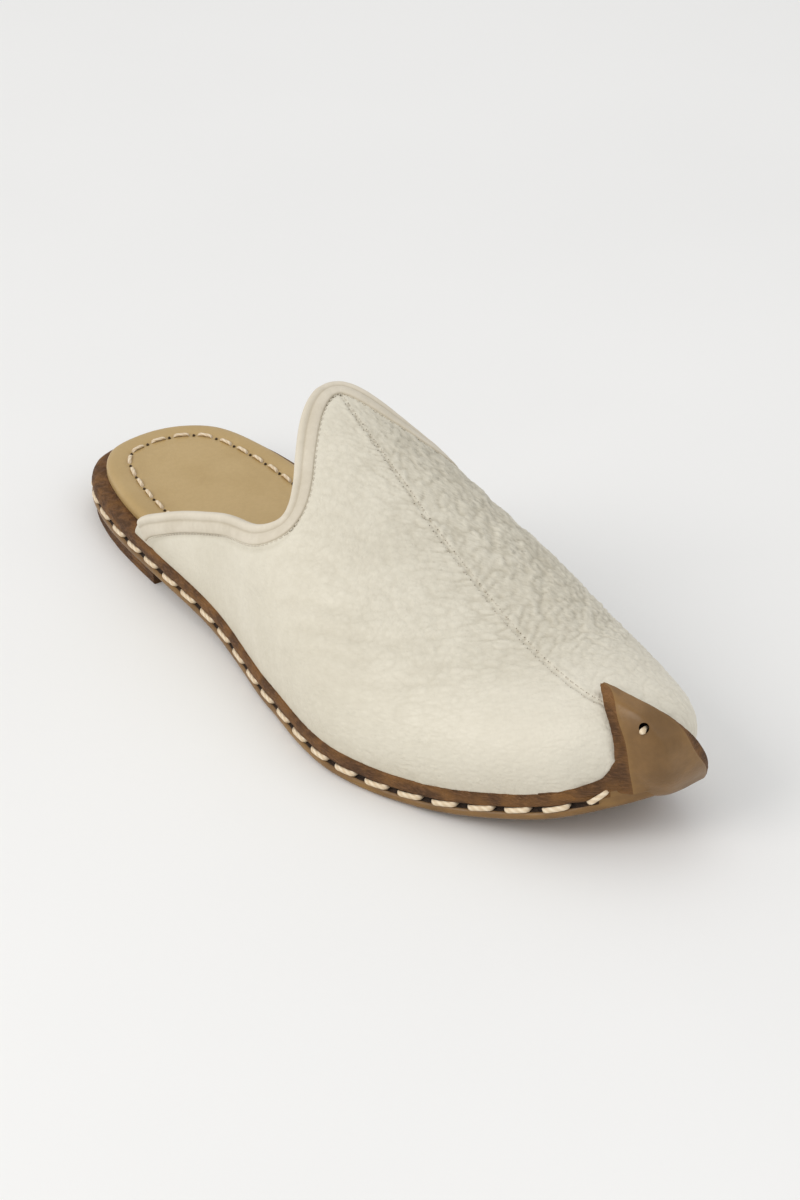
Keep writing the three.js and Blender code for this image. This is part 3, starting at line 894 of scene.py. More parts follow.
@dataclass(frozen=True)
class CutEdge:
    """Cut edge of thick sole leather: raw fibres, stained dark, with rusty glints.

    Args:
        name: Material name.
        colour: Main stain.
        glint: Tone of the fibres that stand out.
        deep: Tone between the fibres, and of the painted shade in grooves and holes.
        roughness: How matt it is.
        ior: Index of refraction.
    """

    name: str
    colour: str
    glint: str
    deep: str
    roughness: float = 0.78
    ior: float = 1.5

    def build(self) -> bpy.types.Material:
        """Makes the material."""
        art = Shading(self.name, self.roughness, self.ior)
        place = art.millimetres()
        # fibres about 0.3 mm thick and 2 mm long, lying level along the edge
        fibres = art.mottle(art.stretched(place, (0.45, 0.45, 2.4)), 0.9, 0.36, 0.66)
        blots = art.mottle(place, 7.0, 0.38, 0.70)
        tone = art.mix(art.times(fibres, 0.75), self.deep, self.colour)
        tone = art.mix(art.times(blots, 0.6), tone, self.glint)
        # painted shade: darker in grooves and holes
        tone = art.mix(art.times(art.mark("hollow_shade"), 0.85), tone, self.deep)
        tone = art.mix(art.times(art.mark("wear"), 0.55), tone, self.glint)
        art.plug("Base Color", tone)
        art.plug("Roughness", art.times(fibres, -0.15, self.roughness + 0.08))
        art.plug("Normal", art.bump(fibres, 0.28, 0.9))
        return art.material


@dataclass(frozen=True)
class Thread:
    """Twisted and waxed linen thread: two plies that show as slanted ridges.

    Args:
        name: Material name.
        colour: Tone of the wax.
        shade: Tone between the plies, where it is painted shade, and of the stains.
        pitch: Length of one turn of the twist in millimetres.
        roughness: How matt it is.
        ior: Index of refraction.
    """

    name: str
    colour: str
    shade: str
    pitch: float
    roughness: float = 0.48
    ior: float = 1.48

    def build(self) -> bpy.types.Material:
        """Makes the material."""
        art = Shading(self.name, self.roughness, self.ior)
        run = art.add("ShaderNodeUVMap", {"uv_map": "run"}).outputs["UV"]
        parts = art.add("ShaderNodeSeparateXYZ", None, {0: run})
        turns = art.times(parts.outputs["X"], 2.0 * math.pi / self.pitch)
        angle = art.add("ShaderNodeMath", {"operation": "MULTIPLY_ADD"},
                        {0: parts.outputs["Y"], 1: 4.0 * math.pi, 2: turns}).outputs["Value"]
        wave = art.add("ShaderNodeMath", {"operation": "SINE"}, {0: angle}).outputs["Value"]
        ridge = art.times(wave, 0.5, 0.5)
        stains = art.mottle(art.millimetres(), 3.0, 0.4, 0.75)
        # the valleys of the twist are darkened: painted shade between the plies
        tone = art.mix(art.times(ridge, 0.6, 0.4), self.shade, self.colour)
        tone = art.mix(art.times(stains, 0.35), tone, self.shade)
        # painted shade: dark brown where the thread dives into its hole
        tone = art.mix(art.times(art.mark("hollow_shade"), 0.7), tone, "#6B4A2B")
        art.plug("Base Color", tone)
        art.plug("Normal", art.bump(ridge, 0.12))
        art.shader.inputs["Coat Weight"].default_value = 0.15
        return art.material


@dataclass(frozen=True)
class Paper:
    """Seamless studio paper: matt, nearly white, with a faint tooth.

    Args:
        name: Material name.
        colour: Tone of the paper.
        shade: Slightly darker tone of its cloudiness.
        roughness: How matt it is.
        ior: Index of refraction.
    """

    name: str
    colour: str
    shade: str
    roughness: float = 0.9
    ior: float = 1.45

    def build(self) -> bpy.types.Material:
        """Makes the material."""
        art = Shading(self.name, self.roughness, self.ior)
        place = art.millimetres()
        clouds = art.times(art.mottle(place, 260.0, 0.3, 0.7), 0.5)
        art.plug("Base Color", art.mix(clouds, self.colour, self.shade))
        art.plug("Normal", art.bump(art.mottle(place, 0.8, 0.3, 0.7), 0.02, 0.3))
        return art.material


@dataclass(frozen=True)
class Palette:
    """The finishes of the slipper, each once."""

    # drum-tumbled cowhide with a matt cream finish; pebbled, with painted shade greying its folds
    cream: Leather = Leather("tumbled_cowhide", "#E0DAC9", "#A9A08A", "#E8E2D3", 0.52,
                             patch=26.0, spread=0.16, cell=1.2, depth=0.13)
    # thin lambskin folded over the edge, smoother and a little warmer than the vamp
    binding: Leather = Leather("binding_lambskin", "#D9D0BE", "#9F9276", "#E5DCCA", 0.48,
                               patch=14.0, spread=0.18, cell=0.8, depth=0.05)
    # undyed pigskin lining, pinkish beige and rather dull
    lining: Leather = Leather("lining_pigskin", "#D3C4B0", "#A8947A", "#DDD0BE", 0.62,
                              patch=18.0, spread=0.4, cell=1.0, depth=0.05)
    # vegetable-tanned calf of the insole, tan, burnished where the foot rubs
    insole: Leather = Leather("veg_tan_insole", "#BFA36F", "#9A7C47", "#AF9360", 0.44,
                              patch=30.0, spread=0.30, cell=0.7, depth=0.03)
    # oiled cowhide of the sole with its grain outwards: satin, mottled brown
    sole: Leather = Leather("oiled_sole_grain", "#846131", "#5F4219", "#98733A", 0.40,
                            patch=12.0, spread=0.55, cell=0.9, depth=0.04, coat=0.08)
    edge: CutEdge = CutEdge("sole_cut_edge", "#6C4723", "#8B602E", "#4B3015")
    # a darker copy of the cut edge for the recessed groove: painted shade
    groove: CutEdge = CutEdge("sole_groove_shade", "#432B15", "#583C20", "#24160A")
    thread: Thread = Thread("waxed_linen", "#F0DFC3", "#CDB28C", 2.6)
    fine_thread: Thread = Thread("fine_cotton", "#DED6C5", "#C2B8A3", 0.9)
    # dark beads in needle and awl holes and the beak hole's dark walls: painted shade inside the holes
    needle_hole_shade: CutEdge = CutEdge("needle_hole_shade", "#8C7C66", "#9A8B74", "#6B5C48")
    insole_hole_shade: CutEdge = CutEdge("insole_awl_hole_shade", "#4E3923", "#60482D", "#322314")
    hole: CutEdge = CutEdge("awl_hole_shade", "#2C1C10", "#3F2814", "#140C06")
    paper: Paper = Paper("studio_paper", "#F4F4F3", "#EFEFEE")


# Stitches

@dataclass
class StitchRow:
    """A row of equal stitches along a line.

    Args:
        line: Points along the row.
        outward: Direction out of the leather at each point.
        pitch: Distance from one stitch to the next.
        length: Length of a stitch.
        width: Width of the thread.
        height: How high the thread stands above its line.
        slant: How far each stitch turns out of the line, to the side.
        sink: How deep its ends go.
        sides: Sides of the thread.
        rings: Rings along each stitch.
        crisp: Higher for a stitch that stays thick up to its ends.
    """

    line: np.ndarray
    outward: np.ndarray
    pitch: float
    length: float
    width: float
    height: float
    slant: float = 0.0
    sink: float = 0.8
    sides: int = 8
    rings: int = 9
    crisp: int = 4

    def __post_init__(self) -> None:
        """Measures the line."""
        steps = np.linalg.norm(np.diff(self.line, axis=0), axis=1)
        self.run = np.concatenate([[0.0], np.cumsum(steps)])
        self.number = max(int(self.run[-1] // self.pitch), 1)
        self.pitch_used = self.run[-1] / self.number

    def at(self, distance: np.ndarray) -> tuple[np.ndarray, np.ndarray]:
        """Points and outward directions at distances along the line.

        Args:
            distance: Distances along the line.

        Returns:
            Points and directions, one row each.
        """
        point = np.stack([np.interp(distance, self.run, self.line[:, k]) for k in range(3)], axis=-1)
        away = np.stack([np.interp(distance, self.run, self.outward[:, k]) for k in range(3)], axis=-1)
        return point, unit(away)

    def holes(self) -> np.ndarray:
        """Places between the stitches where the thread enters the leather."""
        middle = (np.arange(self.number) + 0.5) * self.pitch_used
        half = self.length * 0.5
        ends = np.sort(np.concatenate([middle - half, middle + half]))
        return self.at(ends)[0]

    def gaps(self) -> np.ndarray:
        """Places midway between neighbouring stitches."""
        return self.at((np.arange(self.number - 1) + 1.0) * self.pitch_used)[0]

    def add_to(self, patch: Patch, slot: int = 0) -> None:
        """Adds every stitch.

        Args:
            patch: Where the tubes go.
            slot: Material slot of the thread.
        """
        share = np.linspace(-1.0, 1.0, self.rings)
        turn = np.linspace(0.0, 2.0 * np.pi, self.sides + 1)
        for i in range(self.number):
            middle = (i + 0.5) * self.pitch_used
            wobble = 0.06 * self.pitch_used * noise.noise(Vector((i * 1.7, 3.1, 0.0)))
            distance = middle + wobble + share * self.length / 2.0
            point, away = self.at(distance)
            along = unit(np.gradient(point, axis=0))
            side = unit(np.cross(along, away))
            dive = np.abs(share) ** self.crisp
            centre = point + away * (self.height * (1.0 - dive) - self.sink * dive)[:, None]
            centre = centre + side * (self.slant * share)[:, None]
            size = np.sqrt(np.maximum(1.0 - dive, 0.0))[:, None, None] * 0.80 + 0.20
            ring = (side[:, None, :] * np.cos(turn)[None, :, None] * self.width / 2.0
                    + away[:, None, :] * np.sin(turn)[None, :, None] * self.width * 0.36)
            # the ends that dive into the leather are darkened: painted shade
            dark = np.repeat((dive**1.5)[:, None], self.sides + 1, axis=1)
            patch.tube(centre[:, None, :] + ring * size, slot, hollow_shade=dark)


def near(points: np.ndarray, places: np.ndarray) -> np.ndarray:
    """Distance from each point to the nearest of some places.

    Args:
        points: Any block of points.
        places: The places, one row each.

    Returns:
        Distances in the shape of the block.
    """
    flat = points.reshape(-1, 3)
    best = np.full(len(flat), np.inf)
    for place in places:
        best = np.minimum(best, np.linalg.norm(flat - place, axis=1))
    return best.reshape(points.shape[:-1])


# Upper

@dataclass(frozen=True)
class Crease:
    """A soft trough with a low ridge on both sides, drawn on the upper.

    Args:
        line: Places as share of the length and place around the upper.
        depth: Depth of the trough in millimetres.
        width: Half width of the trough in millimetres.
    """

    line: tuple[tuple[float, float], ...]
    depth: float
    width: float


# how much deeper the creases are drawn than first measured, so that soft light still shows them
CREASE_GAIN = 1.15
CREASES = (
    # flexing creases on the outer side, over the toe joints
    Crease(((0.590, 0.120), (0.614, 0.161), (0.681, 0.238), (0.734, 0.306), (0.755, 0.372)), 0.42, 2.3),
    Crease(((0.640, 0.140), (0.660, 0.171), (0.709, 0.224), (0.747, 0.295)), 0.34, 1.9),
    Crease(((0.556, 0.130), (0.581, 0.169), (0.640, 0.243), (0.687, 0.305)), 0.30, 2.1),
    Crease(((0.700, 0.150), (0.740, 0.200), (0.790, 0.275)), 0.22, 1.7),
    Crease(((0.520, 0.190), (0.560, 0.240), (0.610, 0.300)), 0.22, 2.2),
    # long slanting creases on the inner side below the throat
    Crease(((0.560, 0.800), (0.569, 0.761), (0.596, 0.702), (0.634, 0.639), (0.650, 0.584)), 0.36, 1.9),
    Crease(((0.560, 0.880), (0.573, 0.843), (0.603, 0.789), (0.626, 0.729), (0.648, 0.690)), 0.32, 1.8),
    Crease(((0.640, 0.910), (0.647, 0.878), (0.662, 0.819), (0.680, 0.770)), 0.26, 1.7),
    Crease(((0.672, 0.720), (0.682, 0.680), (0.696, 0.637), (0.715, 0.600)), 0.36, 1.8),
    Crease(((0.720, 0.800), (0.735, 0.740), (0.760, 0.680), (0.775, 0.640)), 0.26, 1.8),
    # short folds on top, on the inner side of the seam
    Crease(((0.655, 0.650), (0.683, 0.619), (0.723, 0.567)), 0.30, 1.4),
    Crease(((0.735, 0.600), (0.761, 0.569), (0.790, 0.535)), 0.28, 1.4),
    Crease(((0.640, 0.610), (0.664, 0.581), (0.698, 0.544)), 0.28, 1.3),
    Crease(((0.600, 0.640), (0.625, 0.600), (0.650, 0.565)), 0.26, 1.4),
    Crease(((0.700, 0.660), (0.725, 0.625), (0.750, 0.590)), 0.26, 1.3),
    Crease(((0.790, 0.620), (0.815, 0.585), (0.835, 0.550)), 0.22, 1.3),
)


@dataclass
class Upper:
    """The cream vamp with its two wings: pebbled hide drawn over the last.

    Args:
        last: Shape of the last.
        palette: The finishes.
        steps_around: Steps around the upper.
        steps_along: Steps along the shoe.
        end_station: Station where the sheet ends at the toe.
        creases: The listed creases.
    """

    last: Last
    palette: Palette
    steps_around: int = 284
    steps_along: int = 340
    end_station: float = 0.992
    creases: tuple[Crease, ...] = CREASES

    def spread_around(self, steps: int) -> np.ndarray:
        """Places around the upper, closer together at both feathers.

        Args:
            steps: Steps around the upper.

        Returns:
            The places, from 0 to 1.
        """
        even = np.linspace(0.0, 1.0, steps + 1)
        return 0.6 * even + 0.4 * (1.0 - np.cos(np.pi * even)) / 2.0

    def stations(self, around: np.ndarray, steps: int) -> np.ndarray:
        """Stations from the collar to the toe for each place around.

        Args:
            around: Places around the upper.
            steps: Steps along the shoe.

        Returns:
            Rows of stations.
        """
        start = self.last.collar_station(around)[:, None]
        return start + (self.end_station - start) * np.linspace(0.0, 1.0, steps + 1)[None, :]

    def crease_relief(self, chart: np.ndarray) -> np.ndarray:
        """Depth of the hand-placed creases.

        Args:
            chart: Places on the flat map.

        Returns:
            Depth of the listed creases.
        """
        total = np.zeros(chart.shape[:-1])
        for crease in self.creases:
            points = np.array(crease.line)
            line = self.last.chart(points[:, 0], points[:, 1])
            nearest = np.full(total.shape, np.inf)
            fade = np.zeros(total.shape)
            reach = len(line) - 1
            for i in range(reach):
                step = line[i + 1] - line[i]
                share = np.clip(((chart - line[i]) @ step) / (step @ step), 0.0, 1.0)
                gap = np.linalg.norm(chart - line[i] - share[..., None] * step, axis=-1)
                closer = gap < nearest
                nearest = np.where(closer, gap, nearest)
                fade = np.where(closer, np.sin(np.pi * np.clip((i + share) / reach, 0.04, 0.96)), fade)
            trough = -np.exp(-np.square(nearest / crease.width))
            ridge = 0.45 * np.exp(-np.square((nearest - 1.9 * crease.width) / crease.width))
            total += CREASE_GAIN * crease.depth * np.sqrt(fade) * (trough + ridge)
        return total

    def relief(self, along: np.ndarray, around: np.ndarray) -> tuple[np.ndarray, np.ndarray]:
        """Height of the leather's own relief over the last.

        Args:
            along: Shares of the sole's length.
            around: Places around the upper.

        Returns:
            Height in millimetres and painted shade by how deep each place lies in a fold, 0 to 1.
        """
        chart = self.last.chart(along, around)
        shape = chart.shape[:-1]
        s, v = chart[..., 0], chart[..., 1]
        # folds run slanting towards the toe on both sides of the seam
        across_fold = (s + np.abs(v)) / math.sqrt(2.0)
        down_fold = (s - np.abs(v)) / math.sqrt(2.0)
        side = np.sign(v) * 40.0
        slanted = np.stack([across_fold, down_fold, side], axis=-1).reshape(-1, 3)
        flat = np.stack([s, v, np.zeros(shape)], axis=-1).reshape(-1, 3)
        inner = ease(-16.0, 6.0, v) * (1.0 - ease(52.0, 74.0, v))
        outer = 0.26 + 0.42 * ease(-62.0, -14.0, v)
        toe_calm = 1.0 - 0.55 * ease(215.0, 250.0, s)
        heel_calm = 0.35 + 0.65 * ease(95.0, 135.0, s)
        from_edge = self.from_collar(along, around)
        # the binding presses the leather flat beside the collar
        rim_calm = 0.12 + 0.88 * ease(5.5, 11.0, from_edge)
        strength = np.maximum(outer, 0.35 + 0.42 * inner) * toe_calm * heel_calm * rim_calm
        cells = pebbles(slanted, (1.9, 3.7, 2.1), 4.3).reshape(shape)
        small = pebbles(flat, (1.5, 1.7, 1.5), 9.1).reshape(shape)
        grain = (0.34 + 0.10 * inner) * (ease(0.0, 0.45, cells) - 0.6) + 0.12 * (ease(0.0, 0.4, small) - 0.6)
        fold_noise = wander(slanted, (3.0, 7.0, 9.0), 2.7).reshape(shape)
        folded = (0.30 + 0.70 * inner) * toe_calm * rim_calm * ease(112.0, 150.0, s) * ease(-58.0, -30.0, v)
        wrinkle = np.exp(-np.square(fold_noise / 0.13))
        folds = folded * (0.18 * fold_noise - 0.32 * wrinkle)
        slack = 0.16 * wander(flat, (34.0, 30.0, 30.0), 7.7).reshape(shape) * ease(100.0, 150.0, s) * rim_calm
        # pleats drawn in along the feather at the toe
        girth = self.last.girth(along)
        hem = np.minimum(around, 1.0 - around) * girth
        pleat_noise = wander(np.stack([s / 1.0, np.sign(v) * 20.0, 0.12 * hem], -1).reshape(-1, 3),
                             (2.1, 9.0, 9.0), 5.5).reshape(shape)
        pleats = 0.34 * ease(190.0, 225.0, s) * np.exp(-hem / 9.0) * pleat_noise
        creases = self.crease_relief(chart) * rim_calm
        seam_gap = np.abs(v)
        seam = -0.34 * np.exp(-np.square(seam_gap / 0.50)) + 0.15 * np.exp(-np.square((seam_gap - 1.4) / 0.8))
        edge_groove = -0.35 * np.exp(-np.square((from_edge - 5.6) / 0.55))
        height = strength * grain + folds + slack + pleats + creases + seam + edge_groove
        # painted shade: darker in the pebbles' creases, the drawn creases, the seam, the groove beside the
        # binding and the wrinkles
        hollow_shade = (strength * (0.36 + 0.26 * inner) * (1.0 - ease(0.0, 0.30, cells))
                  + np.clip(-creases, 0.0, 1.0) * 0.5
                  + 0.22 * np.exp(-np.square(seam_gap / 0.45))
                  + np.clip(-edge_groove, 0.0, 1.0) * 0.7
                  + 0.60 * folded * wrinkle)
        return height, np.clip(hollow_shade, 0.0, 1.0)

    def from_collar(self, along: np.ndarray, around: np.ndarray) -> np.ndarray:
        """Distance from the collar's edge, in millimetres.

        Args:
            along: Share of the sole's length.
            around: Place around the upper.

        Returns:
            The distance for each place.
        """
        chart = self.last.chart(along, around)
        places = np.linspace(0.0, 1.0, 240)
        edge = self.last.chart(self.last.collar(places), places)
        flat = chart.reshape(-1, 2)
        best = np.full(len(flat), np.inf)
        for i in range(len(edge) - 1):
            step = edge[i + 1] - edge[i]
            share = np.clip(((flat - edge[i]) @ step) / (step @ step), 0.0, 1.0)
            gap = flat - edge[i] - share[:, None] * step
            best = np.minimum(best, (gap * gap).sum(-1))
        return np.sqrt(best).reshape(chart.shape[:-1])

    def build(self) -> bpy.types.Object:
        """Makes the outer leather with its turned edges."""
        around = self.spread_around(self.steps_around)
        stations = self.stations(around, self.steps_along)
        along = self.last.along_at(stations)
        wide = np.broadcast_to(around[:, None], stations.shape)
        height, hollow_shade = self.relief(along, wide)
        points = self.last.upper(stations, wide)
        normals = self.last.upper_normal(stations, wide)
        skin = points + normals * height[..., None]
        hem = np.minimum(wide, 1.0 - wide) * self.last.girth(along)
        # painted shade along the hem, where the upper tucks in under the sole's edge
        hem_shade = 0.35 * np.exp(-hem / 2.0)
        wear = 0.5 * ease(225.0, 255.0, along * SOLE_LENGTH)
        patch = Patch()
        numbers = patch.add(skin, hollow_shade=np.clip(hollow_shade + hem_shade, 0.0, 1.0), wear=wear)
        patch.quads(numbers)
        tip = patch.add(self.last.tip(0.0)[None])
        patch.fan(tip[0], numbers[:, -1])
        # edges turned down to the middle of the wall, where the lining meets them
        # the turned collar edge is darkened: painted shade
        collar = patch.add(points[:, 0] - normals[:, 0] * UPPER_WALL / 2.0, hollow_shade=0.3)
        patch.quads(np.stack([collar, numbers[:, 0]]))
        for row in (0, -1):
            # the sunk feather edges are darkened more: painted shade
            sunk = points[row] - normals[row] * 0.2 + np.array([0.0, 0.0, -0.9])
            patch.quads(np.stack([numbers[row], patch.add(sunk, hollow_shade=0.9)]))
        return patch.make("upper_leather", [self.palette.cream.build()], ("upper",))


@dataclass
class Lining:
    """Pigskin lining inside the upper, with soft level folds.

    Args:
        upper: The upper that it lies in.
        palette: The finishes.
        steps_around: Steps around the upper.
        steps_along: Steps along the shoe.
    """

    upper: Upper
    palette: Palette
    steps_around: int = 130
    steps_along: int = 120

    def build(self) -> bpy.types.Object:
        """Makes the lining."""
        last = self.upper.last
        around = self.upper.spread_around(self.steps_around)
        stations = self.upper.stations(around, self.steps_along)
        along = last.along_at(stations)
        wide = np.broadcast_to(around[:, None], stations.shape)
        chart = last.chart(along, wide)
        flat = np.stack([chart[..., 0], chart[..., 1], np.zeros(wide.shape)], -1).reshape(-1, 3)
        folds = wander(flat, (34.0, 6.5, 10.0), 1.9).reshape(wide.shape)
        fine = wander(flat, (9.0, 2.6, 5.0), 6.1).reshape(wide.shape)
        height = 0.45 * folds + 0.12 * fine
        points = last.upper(stations, wide)
        normals = last.upper_normal(stations, wide)
        skin = points - normals * (UPPER_WALL + 0.25 - 0.4 * height)[..., None]
        patch = Patch()
        # painted shade in the troughs of the folds
        numbers = patch.add(skin, hollow_shade=np.clip(-height, 0.0, 1.0))
        patch.quads(numbers)
        patch.fan(patch.add(last.tip(-UPPER_WALL)[None])[0], numbers[:, -1])
        collar = patch.add(points[:, 0] - normals[:, 0] * UPPER_WALL / 2.0)
        patch.quads(np.stack([collar, numbers[:, 0]]))
        for row in (0, -1):
            low = points[row] - normals[row] * UPPER_WALL / 2.0
            # the turned-down edges are darkened: painted shade
            patch.quads(np.stack([numbers[row], patch.add(low, hollow_shade=0.8)]))
        return patch.make("upper_lining", [self.palette.lining.build()])


@dataclass
class CollarBinding:
    """Lambskin strip folded over the collar: a rolled edge, a flat band and a sewn fold inside.

    Args:
        last: Shape of the last.
        palette: The finishes.
        steps: Steps along the collar.
        start: Share of the way round left free at each end.
        section: Cross-section of the strip.
    """

    last: Last
    palette: Palette
    steps: int = 420
    start: float = 0.010
    # distance into the upper and out of its face, from the outer hem over the edge to the inner hem
    section: tuple[tuple[float, float], ...] = (
        (5.3, -0.9), (5.35, -0.15), (5.2, 0.25), (4.8, 0.48), (3.9, 0.62), (2.9, 0.64), (2.2, 0.54),
        (1.85, 0.36), (1.6, 0.32), (1.35, 0.46), (0.95, 0.72), (0.4, 0.88), (-0.2, 0.80), (-0.7, 0.46),
        (-1.0, -0.05), (-1.1, -0.75), (-1.05, -1.4), (-0.8, -2.05), (-0.35, -2.5), (0.3, -2.75),
        (1.6, -2.80), (3.6, -2.75), (5.4, -2.72), (6.0, -2.85), (6.4, -2.70), (6.5, -2.2), (6.4, -1.6),
    )

    def build(self) -> bpy.types.Object:
        """Makes the binding."""
        around = self.start + (1.0 - 2.0 * self.start) * np.linspace(0.0, 1.0, self.steps + 1)
        section = np.array(self.section)
        run = np.linspace(0.0, 1.0, len(around))
        # both ends close in a short rounded nose
        close = np.sqrt(np.clip(np.minimum(run, 1.0 - run) / 0.008, 0.0, 1.0) * 0.97 + 0.03)
        middle = np.array([2.0, -1.1])
        rows = []
        ripple = wander(np.stack([run * 420.0, run * 0.0, run * 0.0], -1), (7.0, 1.0, 1.0), 3.3)
        for into, off in section:
            far = abs(off + 1.1) > 1.3
            into_line = middle[0] + (into - middle[0]) * close
            off_line = middle[1] + (off - middle[1]) * close + (0.10 * ripple if far else 0.0)
            rows.append(self.last.near_collar(around, into_line, off_line))
        grid = np.stack(rows, axis=1)
        # painted shade in the dents along the stitch line and in the groove at the hem
        dents = np.exp(-np.square((section[:, 0] - 1.65) / 0.30)) * (section[:, 1] > 0.0)
        hem = np.exp(-np.square((section[:, 0] - 5.35) / 0.35)) * (section[:, 1] > -0.5)
        # lighter along the rolled edge: partly rubbing, partly a painted highlight on the bead
        worn = np.exp(-np.square((section[:, 0] + 0.4) / 0.9)) * 0.8
        patch = Patch()
        hollow_shade = np.broadcast_to(np.clip(0.7 * dents + 0.8 * hem, 0, 1), grid.shape[:2])
        numbers = patch.add(grid, hollow_shade=hollow_shade, wear=np.broadcast_to(worn, grid.shape[:2]))
        patch.quads(numbers, close=True)
        for end in (0, -1):
            centre = patch.add(grid[end].mean(axis=0)[None])
            patch.fan(centre[0], np.append(numbers[end], numbers[end, 0]))
        return patch.make("collar_binding_leather", [self.palette.binding.build()],
                          ("collar_binding",), sharp=80.0)


@dataclass
class FineSeams:
    """Machine stitches: along the binding's hem and down both sides of the centre seam.

    Args:
        last: Shape of the last.
        upper: The upper, for its relief.
        palette: The finishes.
        collar_into: How far into the upper the row beside the binding lies, in millimetres.
        seam_gap: Distance of each row from the centre seam, in millimetres.
    """

    last: Last
    upper: Upper
    palette: Palette
    collar_into: float = 5.6
    seam_gap: float = 0.70

    def collar_row(self) -> StitchRow:
        """Stitches in the groove beside the binding."""
        around = np.linspace(0.02, 0.98, 500)
        line = self.last.near_collar(around, np.full(500, self.collar_into), np.full(500, -0.12))
        outward = self.last.collar_frame(around)[1]
        return StitchRow(line, outward, pitch=2.0, length=1.45, width=0.50, height=0.12, sink=0.35,
                         sides=6, rings=5)

    def seam_rows(self) -> list[StitchRow]:
        """The two rows beside the centre seam."""
        rows = []
        along = np.linspace(0.428, 0.945, 260)
        stations = self.last.station_at(along)
        for gap in (-self.seam_gap, self.seam_gap):
            around = self.last.seam(along) + gap / self.last.girth(along)
            height, _ = self.upper.relief(along, around)
            normals = self.last.upper_normal(stations, around)
            smooth = np.convolve(np.pad(height, 4, mode="edge"), np.ones(9) / 9.0, mode="valid")
            line = self.last.upper(stations, around) + normals * (smooth - 0.06)[:, None]
            rows.append(StitchRow(line, normals, pitch=2.3, length=1.6, width=0.42, height=0.04,
                                  sink=0.3, sides=6, rings=5))
        return rows

    def build(self) -> bpy.types.Object:
        """Makes the fine stitches and their pinholes."""
        patch = Patch()
        for row in (self.collar_row(), *self.seam_rows()):
            row.add_to(patch)
            # dark beads at every second hole: painted shade inside the needle holes
            for hole in row.holes()[::2]:
                patch.tube(pinhole(hole, 0.16), 1, hollow_shade=1.0)
        materials = [self.palette.fine_thread.build(), self.palette.needle_hole_shade.build()]
        return patch.make("fine_stitches", materials)


def pinhole(place: np.ndarray, radius: float) -> np.ndarray:
    """Rings of a small dark bead that stands for a needle hole, as painted shade inside it.

    Args:
        place: Centre of the hole.
        radius: Radius of the bead.

    Returns:
        Rings, sides and coordinates.
    """
    turn = np.linspace(0.0, 2.0 * np.pi, 7)
    rings = []
    for level in (-0.8, 0.0, 0.8):
        size = radius * math.sqrt(1.0 - level * level)
        ring = np.stack([np.cos(turn) * size, np.sin(turn) * size, np.full(7, level * radius)], -1)
        rings.append(place + ring)
    return np.stack(rings)


# Sole

def lid(patch: Patch, ring: np.ndarray, numbers: np.ndarray, slot: int, columns: int = 10) -> None:
    """Closes a ring with strips across the sole.

    Args:
        patch: Where the faces go.
        ring: Points of the ring.
        numbers: Their numbers.
        slot: Material slot of the faces.
        columns: Strips across.
    """
    half = len(numbers) // 2
    left = np.arange(half + 1)
    right = (len(numbers) - left) % len(numbers)
    share = np.linspace(0.0, 1.0, columns + 1)[None, 1:-1, None]
    inside = ring[left][1:-1, None, :] * (1.0 - share) + ring[right][1:-1, None, :] * share
    middle = patch.add(inside)
    block = np.concatenate([numbers[left][1:-1, None], middle, numbers[right][1:-1, None]], axis=1)
    patch.quads(block, slot)
    for end, edge in ((0, 0), (half, -1)):
        patch.fan(numbers[end], block[edge], slot)


